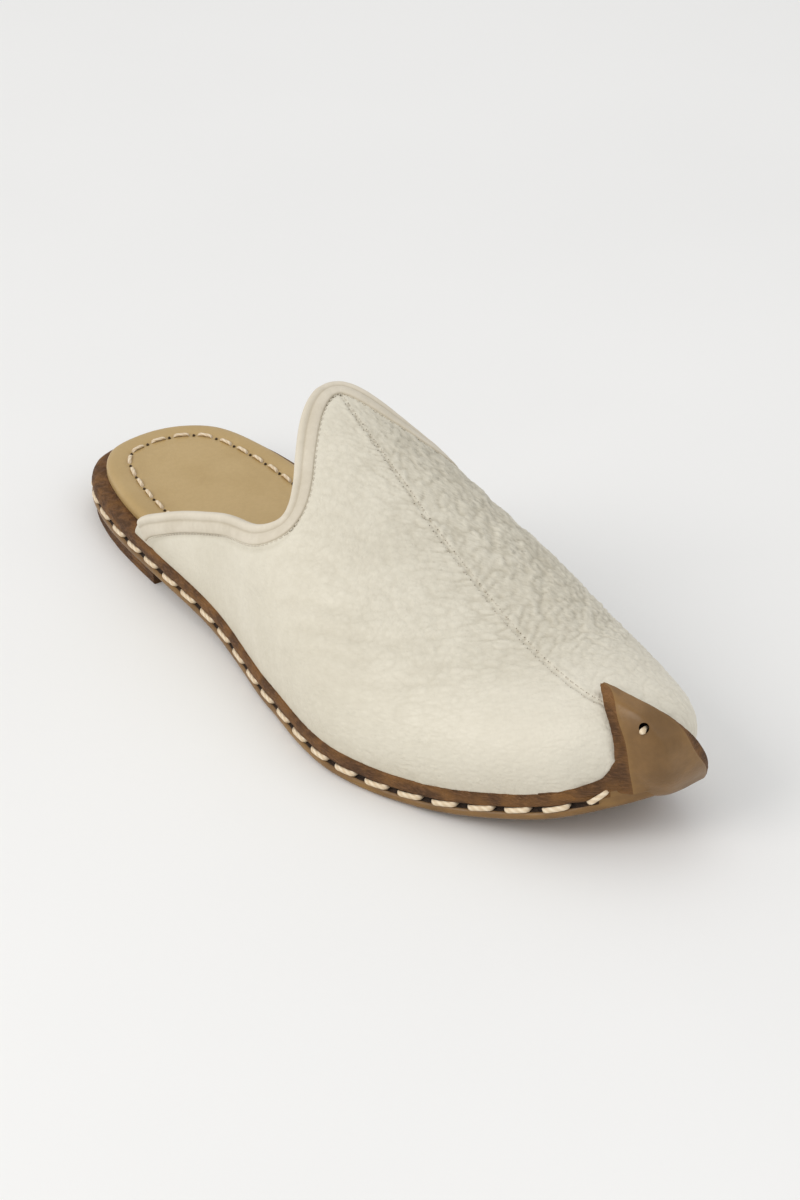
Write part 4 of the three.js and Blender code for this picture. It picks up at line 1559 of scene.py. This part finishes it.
@dataclass
class Outsole:
    """Thick sole: smooth lip below, sewn groove, dark cut edge above, toe folded up into a beak.

    Args:
        last: Shape of the last.
        stitches: The row sewn in the groove.
        palette: The finishes.
        columns: Steps along each side.
        groove_end: Where the groove runs out on each side.
        section: Profile of the side, from the underside up.
    """

    last: Last
    stitches: StitchRow
    palette: Palette
    columns: int = 420
    # shares of the length between which the groove runs out into the beak's smooth face
    groove_end: dict[Side, tuple[float, float]] = field(
        default_factory=lambda: {Side.OUTER: (0.968, 0.977), Side.INNER: (0.982, 0.992)})
    # inset, height above the underside and material slot of the face above each row
    section: tuple[tuple[float, float, int], ...] = (
        (3.2, 0.0, 0), (1.9, 0.05, 0), (1.15, 0.22, 0), (0.62, 0.58, 0), (0.24, 1.05, 0), (0.04, 1.6, 0),
        (0.0, 2.1, 0), (0.12, 2.6, 0), (0.42, 2.95, 2), (0.95, 3.15, 2), (1.32, 3.4, 2), (1.42, 3.75, 2),
        (1.38, 4.1, 2), (1.15, 4.35, 2), (0.75, 4.55, 1), (0.42, 4.8, 1), (0.26, 5.3, 1), (0.22, 5.9, 1),
        (0.25, 6.5, 1), (0.34, 7.1, 1), (0.50, 7.6, 1), (0.78, 8.05, 1), (1.20, 8.38, 1), (1.8, 8.55, 1),
        (2.8, 8.6, 1), (4.6, 8.6, 1),
    )

    def rings(self) -> tuple[np.ndarray, np.ndarray]:
        """Rings round the sole, from the underside up.

        Returns:
            Points and painted shade for each, darker near the stitch holes and in the groove.
        """
        stations = np.linspace(0.0, 1.0, self.columns + 1)
        holes = self.stitches.holes()
        outer = (Side.OUTER, stations)
        inner = (Side.INNER, stations[::-1][1:-1])
        rows = []
        dark = []
        groove_s = [self.last.outline(st, side, 1.0) for side, st in (outer, inner)]
        at_groove = [self.last.place(s, t, self.last.underside(s) + GROOVE_MIDDLE) for s, t in groove_s]
        gap = near(np.concatenate(at_groove), holes)
        pull = np.exp(-np.square(gap / 1.5))
        for inset, height, slot in self.section:
            place_s = []
            for side, st in (outer, inner):
                along = self.last.along_at(st)
                faded = ease(*self.groove_end[side], along) if 2.7 < height < 5.0 else 0.0
                s, t = self.last.outline(st, side, inset + (0.08 - inset) * faded)
                plain_s, _ = self.last.outline(st, side, 0.0)
                place_s.append(self.last.place(s, t, self.last.underside(plain_s) + height))
            points = np.concatenate(place_s)
            inward = np.concatenate([self.inward(side, st) for side, st in (outer, inner)])
            level = math.exp(-((height - GROOVE_MIDDLE) / 0.9) ** 2)
            fibre = ((4.5, 4.5, 1.1), 8.8) if slot == CUT_FACE else ((16.0, 16.0, 3.0), 1.1)
            rough = wander(points, *fibre)
            push = 0.85 * pull * level + rough * (0.16 if slot == CUT_FACE else 0.12)
            if inset > 2.5:
                push = push * 0.0
            rows.append(points + inward * push[:, None])
            # painted shade around the stitch holes and in the groove
            dark.append(np.clip(pull * level * 1.2 + (0.35 if slot == GROOVE_FACE else 0.0), 0.0, 1.0))
        return np.stack(rows), np.stack(dark)

    def inward(self, side: Side, stations: np.ndarray) -> np.ndarray:
        """Level directions into the sole at its outline.

        Args:
            side: Which long side.
            stations: Where along the shoe.

        Returns:
            Directions, one row each.
        """
        s0, t0 = self.last.outline(stations, side, 0.0)
        s1, t1 = self.last.outline(stations, side, 1.0)
        return unit(self.last.place(s1, t1, 0.0) - self.last.place(s0, t0, 0.0))

    def build(self) -> bpy.types.Object:
        """Makes the sole's slab."""
        rows, dark = self.rings()
        patch = Patch()
        streaks = wander(rows.reshape(-1, 3), (15.0, 15.0, 2.6), 3.9).reshape(dark.shape)
        numbers = patch.add(rows, hollow_shade=dark, wear=np.clip(1.8 * streaks, 0.0, 1.0))
        along = self.last.along_at(np.linspace(0.0, 1.0, self.columns + 1))
        for i in range(len(rows) - 1):
            pair = numbers[i:i + 2]
            # the dark groove gives way first, the cut edge above it a little nearer the beak
            share = 0.55 if self.section[i][2] == GROOVE_FACE else 1.2
            ends = {side: low + share * (high - low) for side, (low, high) in self.groove_end.items()}
            first = int(np.searchsorted(along, ends[Side.OUTER]))
            final = 2 * self.columns - int(np.searchsorted(along, ends[Side.INNER]))
            patch.quads(pair[:, first:final + 1], GRAIN_FACE)
            patch.quads(np.concatenate([pair[:, final:], pair[:, :first + 1]], axis=1), self.section[i][2])
        lid(patch, rows[0], numbers[0], GRAIN_FACE)
        lid(patch, rows[-1], numbers[-1], CUT_FACE)
        materials = [self.palette.sole.build(), self.palette.edge.build(), self.palette.groove.build()]
        return patch.make("outsole_leather", materials, ("outsole",))


@dataclass
class Beak:
    """The sole's toe folded up and back over the vamp, its grain side outwards, with one hole.

    Args:
        last: Shape of the last.
        palette: The finishes.
        folds: Steps along the fold.
        edge_columns: Steps across each cut edge.
        face_columns: Steps across the grain face.
        gap: Room between the beak and the vamp, in millimetres.
        web_height: Height above which the beak is kept out of the vamp, in millimetres.
    """

    last: Last
    palette: Palette
    folds: int = 90
    edge_columns: int = 7
    face_columns: int = 26
    gap: float = 0.25
    # above this height the beak lies against the vamp
    web_height: float = 19.0

    @staticmethod
    def lifted(tree: BVHTree, points: np.ndarray, least: float) -> np.ndarray:
        """Points moved out where they are closer to the vamp than a least distance.

        Args:
            tree: The vamp's outer face.
            points: Block of points.
            least: Least distance out of the vamp.

        Returns:
            The moved points.
        """
        inside = Vector((8.0, -105.0, 28.0))
        out = points.copy()
        for index in np.ndindex(points.shape[:-1]):
            point = Vector(points[index])
            place, normal, _, _ = tree.find_nearest(point)
            if normal.dot(place - inside) < 0.0:
                normal = -normal
            off = normal.dot(point - place)
            if off < least:
                out[index] = point + normal * (least - off)
        return out

    def upper_tree(self) -> BVHTree:
        """Search tree of the upper's outer face, which the beak lies against."""
        around = np.linspace(0.0, 1.0, 61)
        stations = np.linspace(0.6, 0.992, 50)
        grid = self.last.upper(stations[None, :], around[:, None])
        numbers = np.arange(grid.shape[0] * grid.shape[1]).reshape(grid.shape[:2])
        a, b = numbers[:-1, :-1].ravel(), numbers[:-1, 1:].ravel()
        c, d = numbers[1:, 1:].ravel(), numbers[1:, :-1].ravel()
        points = [Vector(p) for p in grid.reshape(-1, 3)]
        tip = len(points)
        points.append(Vector(self.last.tip(0.0)))
        faces = [tuple(int(i) for i in face) for face in zip(a, b, c, d)]
        ends = numbers[:, -1]
        faces += [(int(ends[i]), tip, int(ends[i + 1])) for i in range(len(ends) - 1)]
        return BVHTree.FromPolygons(points, faces)

    def depths(self, tree: BVHTree, points: np.ndarray, normals: np.ndarray) -> np.ndarray:
        """Thickness at each point, down to the vamp or the full thickness.

        Args:
            tree: The vamp's outer face.
            points: Rows of points on the outer face.
            normals: Their outward directions.

        Returns:
            Smoothed thickness in millimetres.
        """
        out = np.full(points.shape[:2], BEAK_THICKNESS)
        for i in range(points.shape[0]):
            for j in range(points.shape[1]):
                hit = tree.ray_cast(Vector(points[i, j]), Vector(-normals[i, j]), BEAK_THICKNESS + 1.0)
                if hit[3] is not None:
                    out[i, j] = min(max(hit[3] - self.gap, 1.2), BEAK_THICKNESS)
        for axis in (0, 1):
            padded = np.pad(out, [(2, 2) if k == axis else (0, 0) for k in range(2)], mode="edge")
            parts = [np.take(padded, range(k, k + out.shape[axis]), axis=axis) for k in range(5)]
            out = sum(parts) / 5.0
        return out

    def columns_across(self, fold: np.ndarray) -> np.ndarray:
        """Places across for every fold: cut edge on the outer side, grain face, cut edge on the inner side.

        Args:
            fold: Column of folds.

        Returns:
            One row of places across for each fold.
        """
        width = np.linalg.norm(self.last.beak(fold, 1.0) - self.last.beak(fold, -1.0), axis=-1)
        outer = np.minimum(self.outer_edge(fold), width * 0.45) / width * 2.0
        inner = np.minimum(self.inner_edge(fold), width * 0.3) / width * 2.0
        left = -1.0 + outer * np.linspace(0.0, 1.0, self.edge_columns + 1)[None, :]
        right = 1.0 - inner * np.linspace(1.0, 0.0, self.edge_columns + 1)[None, :]
        share = np.linspace(0.0, 1.0, self.face_columns + 1)[None, 1:-1]
        face = left[:, -1:] + (right[:, :1] - left[:, -1:]) * share
        return np.concatenate([left, face, right], axis=1)

    @staticmethod
    def outer_edge(fold: np.ndarray) -> np.ndarray:
        """Width of the cut edge that shows on the outer side, in millimetres.

        Args:
            fold: Place along the fold.

        Returns:
            The width for each place.
        """
        return 1.6 + 1.7 * (1.0 - ease(0.30, 0.90, fold))

    @staticmethod
    def inner_edge(fold: np.ndarray) -> np.ndarray:
        """Width of the cut edge that shows on the inner side, in millimetres.

        Args:
            fold: Place along the fold.

        Returns:
            The width for each place.
        """
        return 0.5 + 3.4 * np.exp(-np.square((fold - 0.50) / 0.15))

    def build(self) -> bpy.types.Object:
        """Makes the beak and cuts its hole."""
        fold = np.linspace(0.0, 1.0, self.folds + 1)[:, None]
        across = self.columns_across(fold)
        points = self.last.beak(fold, across)
        normals = self.last.beak_normal(fold, across)
        tree = self.upper_tree()
        high = points[..., 2] > self.web_height
        points = np.where(high[..., None], self.lifted(tree, points, 2.5), points)
        depth = self.depths(tree, points, normals)
        width = np.linalg.norm(points[:, -1] - points[:, 0], axis=1)[:, None]
        from_outer = (1.0 + across) / 2.0 * width
        from_inner = (1.0 - across) / 2.0 * width
        # the cut edge slopes back from the grain face, more on the outer side
        drop = (0.50 * np.clip(self.outer_edge(fold) - from_outer, 0.0, None)
                + 0.45 * np.clip(self.inner_edge(fold) - from_inner, 0.0, None))
        drop = np.minimum(drop, depth * 0.7)
        flat = points.reshape(-1, 3)
        sway = 0.22 * wander(flat, (9.0, 9.0, 9.0), 2.2).reshape(points.shape[:2])
        fuzz = 0.12 * wander(flat, (1.6, 1.6, 1.6), 6.1).reshape(points.shape[:2])
        raw = (from_outer < self.outer_edge(fold) - 0.1) | (from_inner < self.inner_edge(fold) - 0.1)
        outside = points + normals * (sway + np.where(raw, fuzz, 0.0) - drop)[..., None]
        inside = points - normals * depth[..., None]
        patch = Patch()
        rim = np.exp(-np.square((from_outer - self.outer_edge(fold)) / 0.7))
        rim = np.maximum(rim, 0.5 * np.exp(-np.square((from_inner - self.inner_edge(fold)) / 0.8)))
        top = patch.add(outside, wear=0.6 * rim)
        # the face against the vamp is darkened: painted shade
        low = patch.add(inside, hollow_shade=0.6)
        last_face = self.edge_columns + self.face_columns
        patch.quads(top[:, :self.edge_columns + 1], 1)
        patch.quads(top[:, self.edge_columns:last_face + 1], 0)
        patch.quads(top[:, last_face:], 1)
        patch.quads(low, 1)
        steps = np.linspace(0.0, 1.0, 7)[1:-1]
        for column, beside in ((0, 1), (-1, -2)):
            walls = [top[:, column]]
            for share in steps:
                line = outside[:, column] * (1.0 - share) + inside[:, column] * share
                rough = 0.16 * wander(line, (3.0, 3.0, 1.2), 6.6)
                out = unit(points[:, column] - points[:, beside])
                bulge = 0.35 * math.sin(math.pi * share)
                # deeper into the wall is darker: painted shade
                walls.append(patch.add(line + out * (rough + bulge)[:, None], hollow_shade=0.25 * share))
            walls.append(low[:, column])
            patch.quads(np.stack(walls), 1)
        for row in (0, -1):
            patch.quads(np.stack([top[row], low[row]]), 1)
        materials = [self.palette.sole.build(), self.palette.edge.build(), self.palette.hole.build()]
        beak = patch.make("outsole_beak", materials, sharp=50.0)
        self.cut_hole(beak)
        return beak

    def cut_hole(self, beak: bpy.types.Object) -> None:
        """Drills the hole square to the outer face.

        Args:
            beak: The beak to drill.
        """
        place = self.last.beak(*BEAK_HOLE)
        normal = Vector(self.last.beak_normal(*BEAK_HOLE))
        work = bmesh.new()
        bmesh.ops.create_cone(work, cap_ends=True, segments=28, radius1=BEAK_HOLE_RADIUS * MM,
                              radius2=BEAK_HOLE_RADIUS * MM, depth=BEAK_THICKNESS * 2.4 * MM)
        mesh = bpy.data.meshes.new("drill")
        work.to_mesh(mesh)
        work.free()
        drill = bpy.data.objects.new("drill", mesh)
        # the hole's walls take the darkest material: painted shade inside the hole
        for _ in range(3):
            mesh.materials.append(beak.data.materials[2])
        mesh.polygons.foreach_set("material_index", [2] * len(mesh.polygons))
        bpy.context.collection.objects.link(drill)
        drill.location = Vector(place) * MM
        drill.rotation_mode = "QUATERNION"
        drill.rotation_quaternion = normal.to_track_quat("Z", "Y")
        cut = beak.modifiers.new("hole", "BOOLEAN")
        cut.operation = "DIFFERENCE"
        cut.solver = "EXACT"
        cut.object = drill
        bpy.context.view_layer.update()
        shape = bpy.data.meshes.new_from_object(beak.evaluated_get(bpy.context.evaluated_depsgraph_get()))
        beak.modifiers.clear()
        beak.data = shape
        bpy.data.objects.remove(drill)


@dataclass
class BeakFoot:
    """Rounded web where the beak's cut edge runs out into the sole's edge on the outer side.

    Args:
        last: Shape of the last.
        palette: The finishes.
        columns: Steps along the web.
        rows: Steps up the web.
        thickness: How far it stands off the upper, in millimetres.
        climb: How high it climbs.
    """

    last: Last
    palette: Palette
    columns: int = 44
    rows: int = 9
    thickness: float = 1.7
    # share of the length and how high the web climbs up the vamp there
    climb: tuple[tuple[float, float], ...] = (
        (0.930, 0.02), (0.950, 0.2), (0.964, 0.8), (0.970, 1.3), (0.974, 1.8), (0.977, 2.5), (0.980, 4.0),
        (0.984, 7.5), (0.992, 10.0),
    )

    def around_at(self, station: np.ndarray, height: np.ndarray) -> np.ndarray:
        """Place around the upper at a height above its outer feather.

        Args:
            station: Where along the shoe.
            height: Height above the feather.

        Returns:
            The place around the upper.
        """
        raised = np.power(height / self.last.rise(station), 1.0 / self.last.fill(station))
        low = np.sin(self.last.tuck(station))
        tuck = self.last.tuck(station)
        return (np.arcsin(raised * (1.0 + low) - low) + tuck) / (np.pi + 2.0 * tuck)

    def build(self) -> bpy.types.Object:
        """Makes the web."""
        climb = Curve([row[0] for row in self.climb], [row[1] for row in self.climb])
        along = np.linspace(self.climb[0][0], self.climb[-1][0], self.columns)
        station = self.last.station_at(along)
        top = self.around_at(station, climb(along))
        share = np.linspace(0.0, 1.0, self.rows)[:, None]
        around = top[None, :] * share
        points = self.last.upper(station[None, :], around)
        normals = self.last.upper_normal(station[None, :], np.maximum(around, 0.01))
        off = self.thickness * (1.0 - 0.75 * share**3) * ease(0.0, 0.9, climb(along))[None, :]
        rough = 0.12 * wander(points.reshape(-1, 3), (2.2, 2.2, 2.2), 4.9).reshape(off.shape)
        face = points + normals * (off + rough)[..., None]
        foot = face[0] + np.array([0.0, 0.0, -1.6])
        back = points[-1] - normals[-1] * 0.4
        patch = Patch()
        # the whole web is darkened a little: painted shade in the corner by the vamp
        numbers = patch.add(np.concatenate([foot[None], face, back[None]]), hollow_shade=0.15)
        patch.quads(numbers)
        return patch.make("outsole_beak_foot", [self.palette.edge.build()])


@dataclass
class BeakThread:
    """End of waxed thread that comes out of the beak's hole.

    Args:
        last: Shape of the last.
        palette: The finishes.
        radius: The thread's radius in millimetres.
    """

    last: Last
    palette: Palette
    radius: float = 0.85

    def build(self) -> bpy.types.Object:
        """Makes the thread end."""
        fold, across = BEAK_HOLE
        centre = self.last.beak(fold, across)
        normal = self.last.beak_normal(fold, across)
        down = unit(self.last.beak(fold - 0.05, across) - centre)
        side = unit(np.cross(normal, down))
        bends = np.array([(-2.6, 0.1, 0.0), (-1.4, 0.2, 0.15), (-0.5, 0.35, 0.35), (0.1, 0.55, 0.6),
                          (0.45, 0.8, 0.85), (0.65, 1.05, 1.05), (0.70, 1.3, 1.2)])
        line = np.array([centre + normal * a + down * b - side * c for a, b, c in bends])
        along = unit(np.gradient(line, axis=0))
        across_line = unit(np.cross(along, side))
        turn = np.linspace(0.0, 2.0 * np.pi, 13)
        size = np.array([0.8, 0.8, 0.9, 1.05, 1.1, 0.9, 0.45])[:, None, None] * self.radius
        ring = (across_line[:, None, :] * np.cos(turn)[None, :, None]
                + np.cross(along, across_line)[:, None, :] * np.sin(turn)[None, :, None])
        patch = Patch()
        patch.tube(line[:, None, :] + ring * size)
        return patch.make("beak_thread", [self.palette.thread.build()])


@dataclass
class SoleStitching:
    """Hand-sewn stitches in the sole's groove, and the last one climbing to the beak.

    Args:
        last: Shape of the last.
        row: The row of stitches.
        palette: The finishes.
        climb: Line of the last stitch.
    """

    last: Last
    row: StitchRow
    palette: Palette
    # share of the length, height above the underside and inset at both ends of the last stitch
    climb: tuple[tuple[float, float, float], ...] = (
        (0.9665, 3.7, 0.40), (0.9725, 5.4, 0.0), (0.9785, 7.3, -0.1),
    )

    def climbing(self) -> StitchRow:
        """The last stitch on the outer side, which leaves the groove and climbs to the beak."""
        points = []
        away = []
        for along, height, inset in self.climb:
            station = self.last.station_at(np.array(along))
            s, t = self.last.outline(station, Side.OUTER, inset)
            s_in, t_in = self.last.outline(station, Side.OUTER, inset + 1.0)
            low = self.last.underside(s)
            points.append(self.last.place(s, t, low + height))
            away.append(unit(points[-1] - self.last.place(s_in, t_in, low + height)))
        line = np.array(points)
        length = float(np.linalg.norm(np.diff(line, axis=0), axis=1).sum())
        return StitchRow(line, np.array(away), pitch=length * 0.999, length=length, width=1.8, height=0.25,
                         sink=1.2, rings=13, crisp=6)

    def build(self) -> bpy.types.Object:
        """Makes the stitches."""
        patch = Patch()
        self.row.add_to(patch)
        self.climbing().add_to(patch)
        return patch.make("sole_stitches", [self.palette.thread.build()])


@dataclass
class Insole:
    """Tan leather insole with a rounded edge and a running stitch.

    Args:
        last: Shape of the last.
        palette: The finishes.
        columns: Steps along each side.
        stitch_inset: Distance of the stitches from the insole's edge.
        end: Where the row of stitches ends on each side.
    """

    last: Last
    palette: Palette
    columns: int = 300
    stitch_inset: float = 7.6
    end: float = 0.93

    def top(self) -> float:
        """Height of the insole's face above the sole's underside."""
        return OUTSOLE_THICKNESS + CLEARANCE + INSOLE_THICKNESS

    def row(self) -> StitchRow:
        """The running stitch."""
        line, _ = self.last.sole_path(INSOLE_INSET + self.stitch_inset, self.top() - 0.25, self.end, self.end)
        up = np.tile(np.array([0.0, 0.0, 1.0]), (len(line), 1))
        return StitchRow(line, up, pitch=8.0, length=6.0, width=1.25, height=0.30, slant=0.12, sink=0.8,
                         crisp=6)

    def build(self) -> list[bpy.types.Object]:
        """Makes the insole and its stitches."""
        base = OUTSOLE_THICKNESS + CLEARANCE
        top = self.top()
        section = [(0.25, base), (0.0, base + 0.4), (0.0, base + 1.9), (0.12, top - 1.4), (0.42, top - 0.8),
                   (0.9, top - 0.36), (1.6, top - 0.1), (2.6, top)]
        section += [(inset, top) for inset in np.arange(3.4, 12.6, 0.75)]
        stations = np.linspace(0.0, 1.0, self.columns + 1)
        holes = self.row().gaps()
        rows = []
        dark = []
        for inset, height in section:
            parts = []
            for side, st in ((Side.OUTER, stations), (Side.INNER, stations[::-1][1:-1])):
                s, t = self.last.outline(st, side, INSOLE_INSET + inset)
                plain_s, _ = self.last.outline(st, side, 0.0)
                parts.append(self.last.place(s, t, self.last.underside(plain_s) + height))
            points = np.concatenate(parts)
            gap = near(points, holes)
            groove = math.exp(-((inset - self.stitch_inset) / 1.1) ** 2)
            dent = 0.28 * groove + 0.30 * np.exp(-np.square(gap / 0.9))
            soft = 0.22 * wander(points, (24.0, 24.0, 24.0), 4.4) if inset > 2.0 else 0.0
            dish = 0.5 * float(ease(2.0, 12.0, inset))
            points[:, 2] -= dent + dish - soft
            rows.append(points)
            # painted shade around the holes and in the stitch groove
            dark.append(np.clip(0.70 * np.exp(-np.square(gap / 0.7)) + 0.12 * groove, 0.0, 1.0))
        patch = Patch()
        grid = np.stack(rows)
        patches = wander(grid.reshape(-1, 3), (30.0, 30.0, 30.0), 5.9).reshape(grid.shape[:2])
        worn = 0.25 + 0.5 * np.clip(patches, 0, 1)
        numbers = patch.add(grid, hollow_shade=np.stack(dark), wear=worn)
        patch.quads(numbers, close=True)
        lid(patch, grid[-1], numbers[-1], GRAIN_FACE, columns=24)
        lid(patch, grid[0], numbers[0], GRAIN_FACE, columns=2)
        insole = patch.make("insole_leather_face", [self.palette.insole.build()], ("insole",))
        thread = Patch()
        self.row().add_to(thread)
        for hole in holes:
            # dark beads in the holes: painted shade
            ring = pinhole(hole + np.array([0.0, 0.0, -0.30]), 0.50)
            thread.tube(ring, 1, hollow_shade=0.4)
        materials = [self.palette.thread.build(), self.palette.insole_hole_shade.build()]
        stitches = thread.make("insole_stitches", materials)
        return [insole, stitches]


@dataclass
class HeelLift:
    """Low heel of two leather layers, pressed together and stained at the edge.

    Args:
        last: Shape of the last.
        palette: The finishes.
        columns: Steps along each side.
        layer_joint: Height where the two layers meet.
        section: Profile of the edge, from the floor up.
    """

    last: Last
    palette: Palette
    columns: int = 150
    layer_joint: float = 1.98
    # inset, height and material number of the face above each row
    section: tuple[tuple[float, float, int], ...] = (
        (2.2, 0.0, 0), (1.75, 0.0, 0), (1.35, 0.18, 1), (LIFT_INSET, 0.6, 1), (LIFT_INSET, 1.2, 1),
        (1.28, 1.75, 1), (1.5, 1.98, 1), (1.28, 2.2, 1), (LIFT_INSET, 2.8, 1), (LIFT_INSET, 3.5, 1),
        (1.45, 3.95, 1), (2.4, 4.0, 1),
    )

    def build(self) -> bpy.types.Object:
        """Makes the heel."""
        breast = float(self.last.station_at(HEEL_LIFT_LENGTH / SOLE_LENGTH))
        stations = np.linspace(0.0, breast, self.columns + 1)
        rows = []
        dark = []
        for inset, height, _ in self.section:
            parts = []
            for side, st in ((Side.OUTER, stations), (Side.INNER, stations[::-1][1:-1])):
                s, t = self.last.outline(st, side, inset)
                parts.append(self.last.place(s, t, height))
            points = np.concatenate(parts)
            at_edge = 0.1 < height < 3.9
            rough = 0.10 * wander(points, (5.0, 5.0, 0.9), 3.0) if at_edge else np.zeros(len(points))
            rows.append(points + np.stack([rough, rough, rough * 0.0], -1))
            # painted shade in the notch where the two layers meet
            dark.append(np.full(len(points), 0.9 * math.exp(-((height - self.layer_joint) / 0.18) ** 2)))
        patch = Patch()
        grid = np.stack(rows)
        numbers = patch.add(grid, hollow_shade=np.stack(dark))
        for i in range(len(grid) - 1):
            patch.quads(numbers[i:i + 2], self.section[i][2], close=True)
        lid(patch, grid[0], numbers[0], GRAIN_FACE)
        lid(patch, grid[-1], numbers[-1], CUT_FACE)
        return patch.make("heel_lift_leather", [self.palette.sole.build(), self.palette.edge.build()],
                          ("heel_lift",))


# Studio

@dataclass
class Studio:
    """Pale floor, soft lights and the camera at the photograph's angle.

    Args:
        palette: The finishes.
        camera_place: Where the camera stands.
        aim: What it looks at.
        lens: Focal length in millimetres.
        roll: How far it leans.
        sensor_width: Width of the camera's sensor in millimetres.
        air_tone: Tone of the surroundings.
        air_strength: Strength of their light.
    """

    palette: Palette
    camera_place: tuple[float, float, float] = (-0.547, -0.889, 0.634)
    aim: tuple[float, float, float] = (0.0, -0.022, 0.030)
    lens: float = 181.0
    # the camera leans a little to the right, which keeps the photograph's angle to the shoe
    roll: float = math.radians(1.64)
    sensor_width: float = 36.0
    air_tone: str = "#F5F5F5"
    air_strength: float = 0.77

    def floor(self) -> bpy.types.Object:
        """Makes the floor."""
        half = 4.0
        mesh = bpy.data.meshes.new("studio_floor")
        corners = [(-half, -half, 0.0), (half, -half, 0.0), (half, half, 0.0), (-half, half, 0.0)]
        mesh.from_pydata(corners, [], [(0, 1, 2, 3)])
        mesh.materials.append(self.palette.paper.build())
        floor = bpy.data.objects.new("studio_floor", mesh)
        bpy.context.collection.objects.link(floor)
        return floor

    def light(self, name: str, place: tuple[float, float, float], size: float, power: float,
              colour: str) -> bpy.types.Object:
        """Adds a square soft light that faces the shoe.

        Args:
            name: Object name.
            place: Where it stands.
            size: Length of its side in metres.
            power: Watts.
            colour: Tone of its light.

        Returns:
            The light.
        """
        data = bpy.data.lights.new(name, "AREA")
        data.size = size
        data.energy = power
        data.color = linear(colour)[:3]
        lamp = bpy.data.objects.new(name, data)
        bpy.context.collection.objects.link(lamp)
        lamp.location = place
        lamp.rotation_mode = "QUATERNION"
        lamp.rotation_quaternion = (Vector(self.aim) - Vector(place)).to_track_quat("-Z", "Y")
        return lamp

    def build(self) -> list[bpy.types.Object]:
        """Makes the studio and sets the camera."""
        world = bpy.data.worlds.new("studio_air")
        world.use_nodes = True
        air = world.node_tree.nodes["Background"]
        air.inputs["Color"].default_value = linear(self.air_tone)
        air.inputs["Strength"].default_value = self.air_strength
        bpy.context.scene.world = world
        bpy.context.scene.view_settings.view_transform = "Standard"
        made = [
            self.floor(),
            self.light("key_light", (-1.5, 0.0, 1.15), 1.1, 12.5, "#FFFBF6"),
            self.light("fill_light", (0.5, -1.6, 1.3), 1.2, 3.6, "#F4F7FF"),
            self.light("top_light", (0.3, 0.4, 1.9), 1.2, 2.0, "#FFFFFF"),
        ]
        data = bpy.data.cameras.new("photo_camera")
        data.sensor_fit = "HORIZONTAL"
        data.sensor_width = self.sensor_width
        data.lens = self.lens
        camera = bpy.data.objects.new("photo_camera", data)
        bpy.context.collection.objects.link(camera)
        camera.location = self.camera_place
        camera.rotation_mode = "QUATERNION"
        camera.rotation_quaternion = (Vector(self.aim) - Vector(self.camera_place)).to_track_quat("-Z", "Y")
        camera.rotation_quaternion @= Quaternion((0.0, 0.0, 1.0), -self.roll)
        bpy.context.scene.camera = camera
        return [*made, camera]


def corners() -> list[list[float]]:
    """Lowest and highest corner of what is shown, as plain lists."""
    low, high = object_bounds()
    return [list(low), list(high)]


def main() -> None:
    """Builds the pieces in order and says what was made."""
    logging.basicConfig(level=logging.INFO, format="%(name)s: %(message)s")
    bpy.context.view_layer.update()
    last = Last()
    palette = Palette()
    line, outward = last.sole_path(0.42, GROOVE_MIDDLE, 0.975, 0.9595)
    sole_row = StitchRow(line, outward, pitch=11.8, length=9.3, width=1.8, height=0.05, slant=-0.25, sink=1.2,
                        rings=13, crisp=6)
    upper = Upper(last, palette)
    builders = [
        upper,
        Lining(upper, palette),
        CollarBinding(last, palette),
        FineSeams(last, upper, palette),
        Outsole(last, sole_row, palette),
        Beak(last, palette),
        BeakFoot(last, palette),
        BeakThread(last, palette),
        SoleStitching(last, sole_row, palette),
        Insole(last, palette),
        HeelLift(last, palette),
    ]
    for builder in builders:
        made = builder.build()
        for thing in made if isinstance(made, list) else [made]:
            log.info("%s: %d faces", thing.name, len(thing.data.polygons))
    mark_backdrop(*Studio(palette).build())


if __name__ == "__main__":
    main()
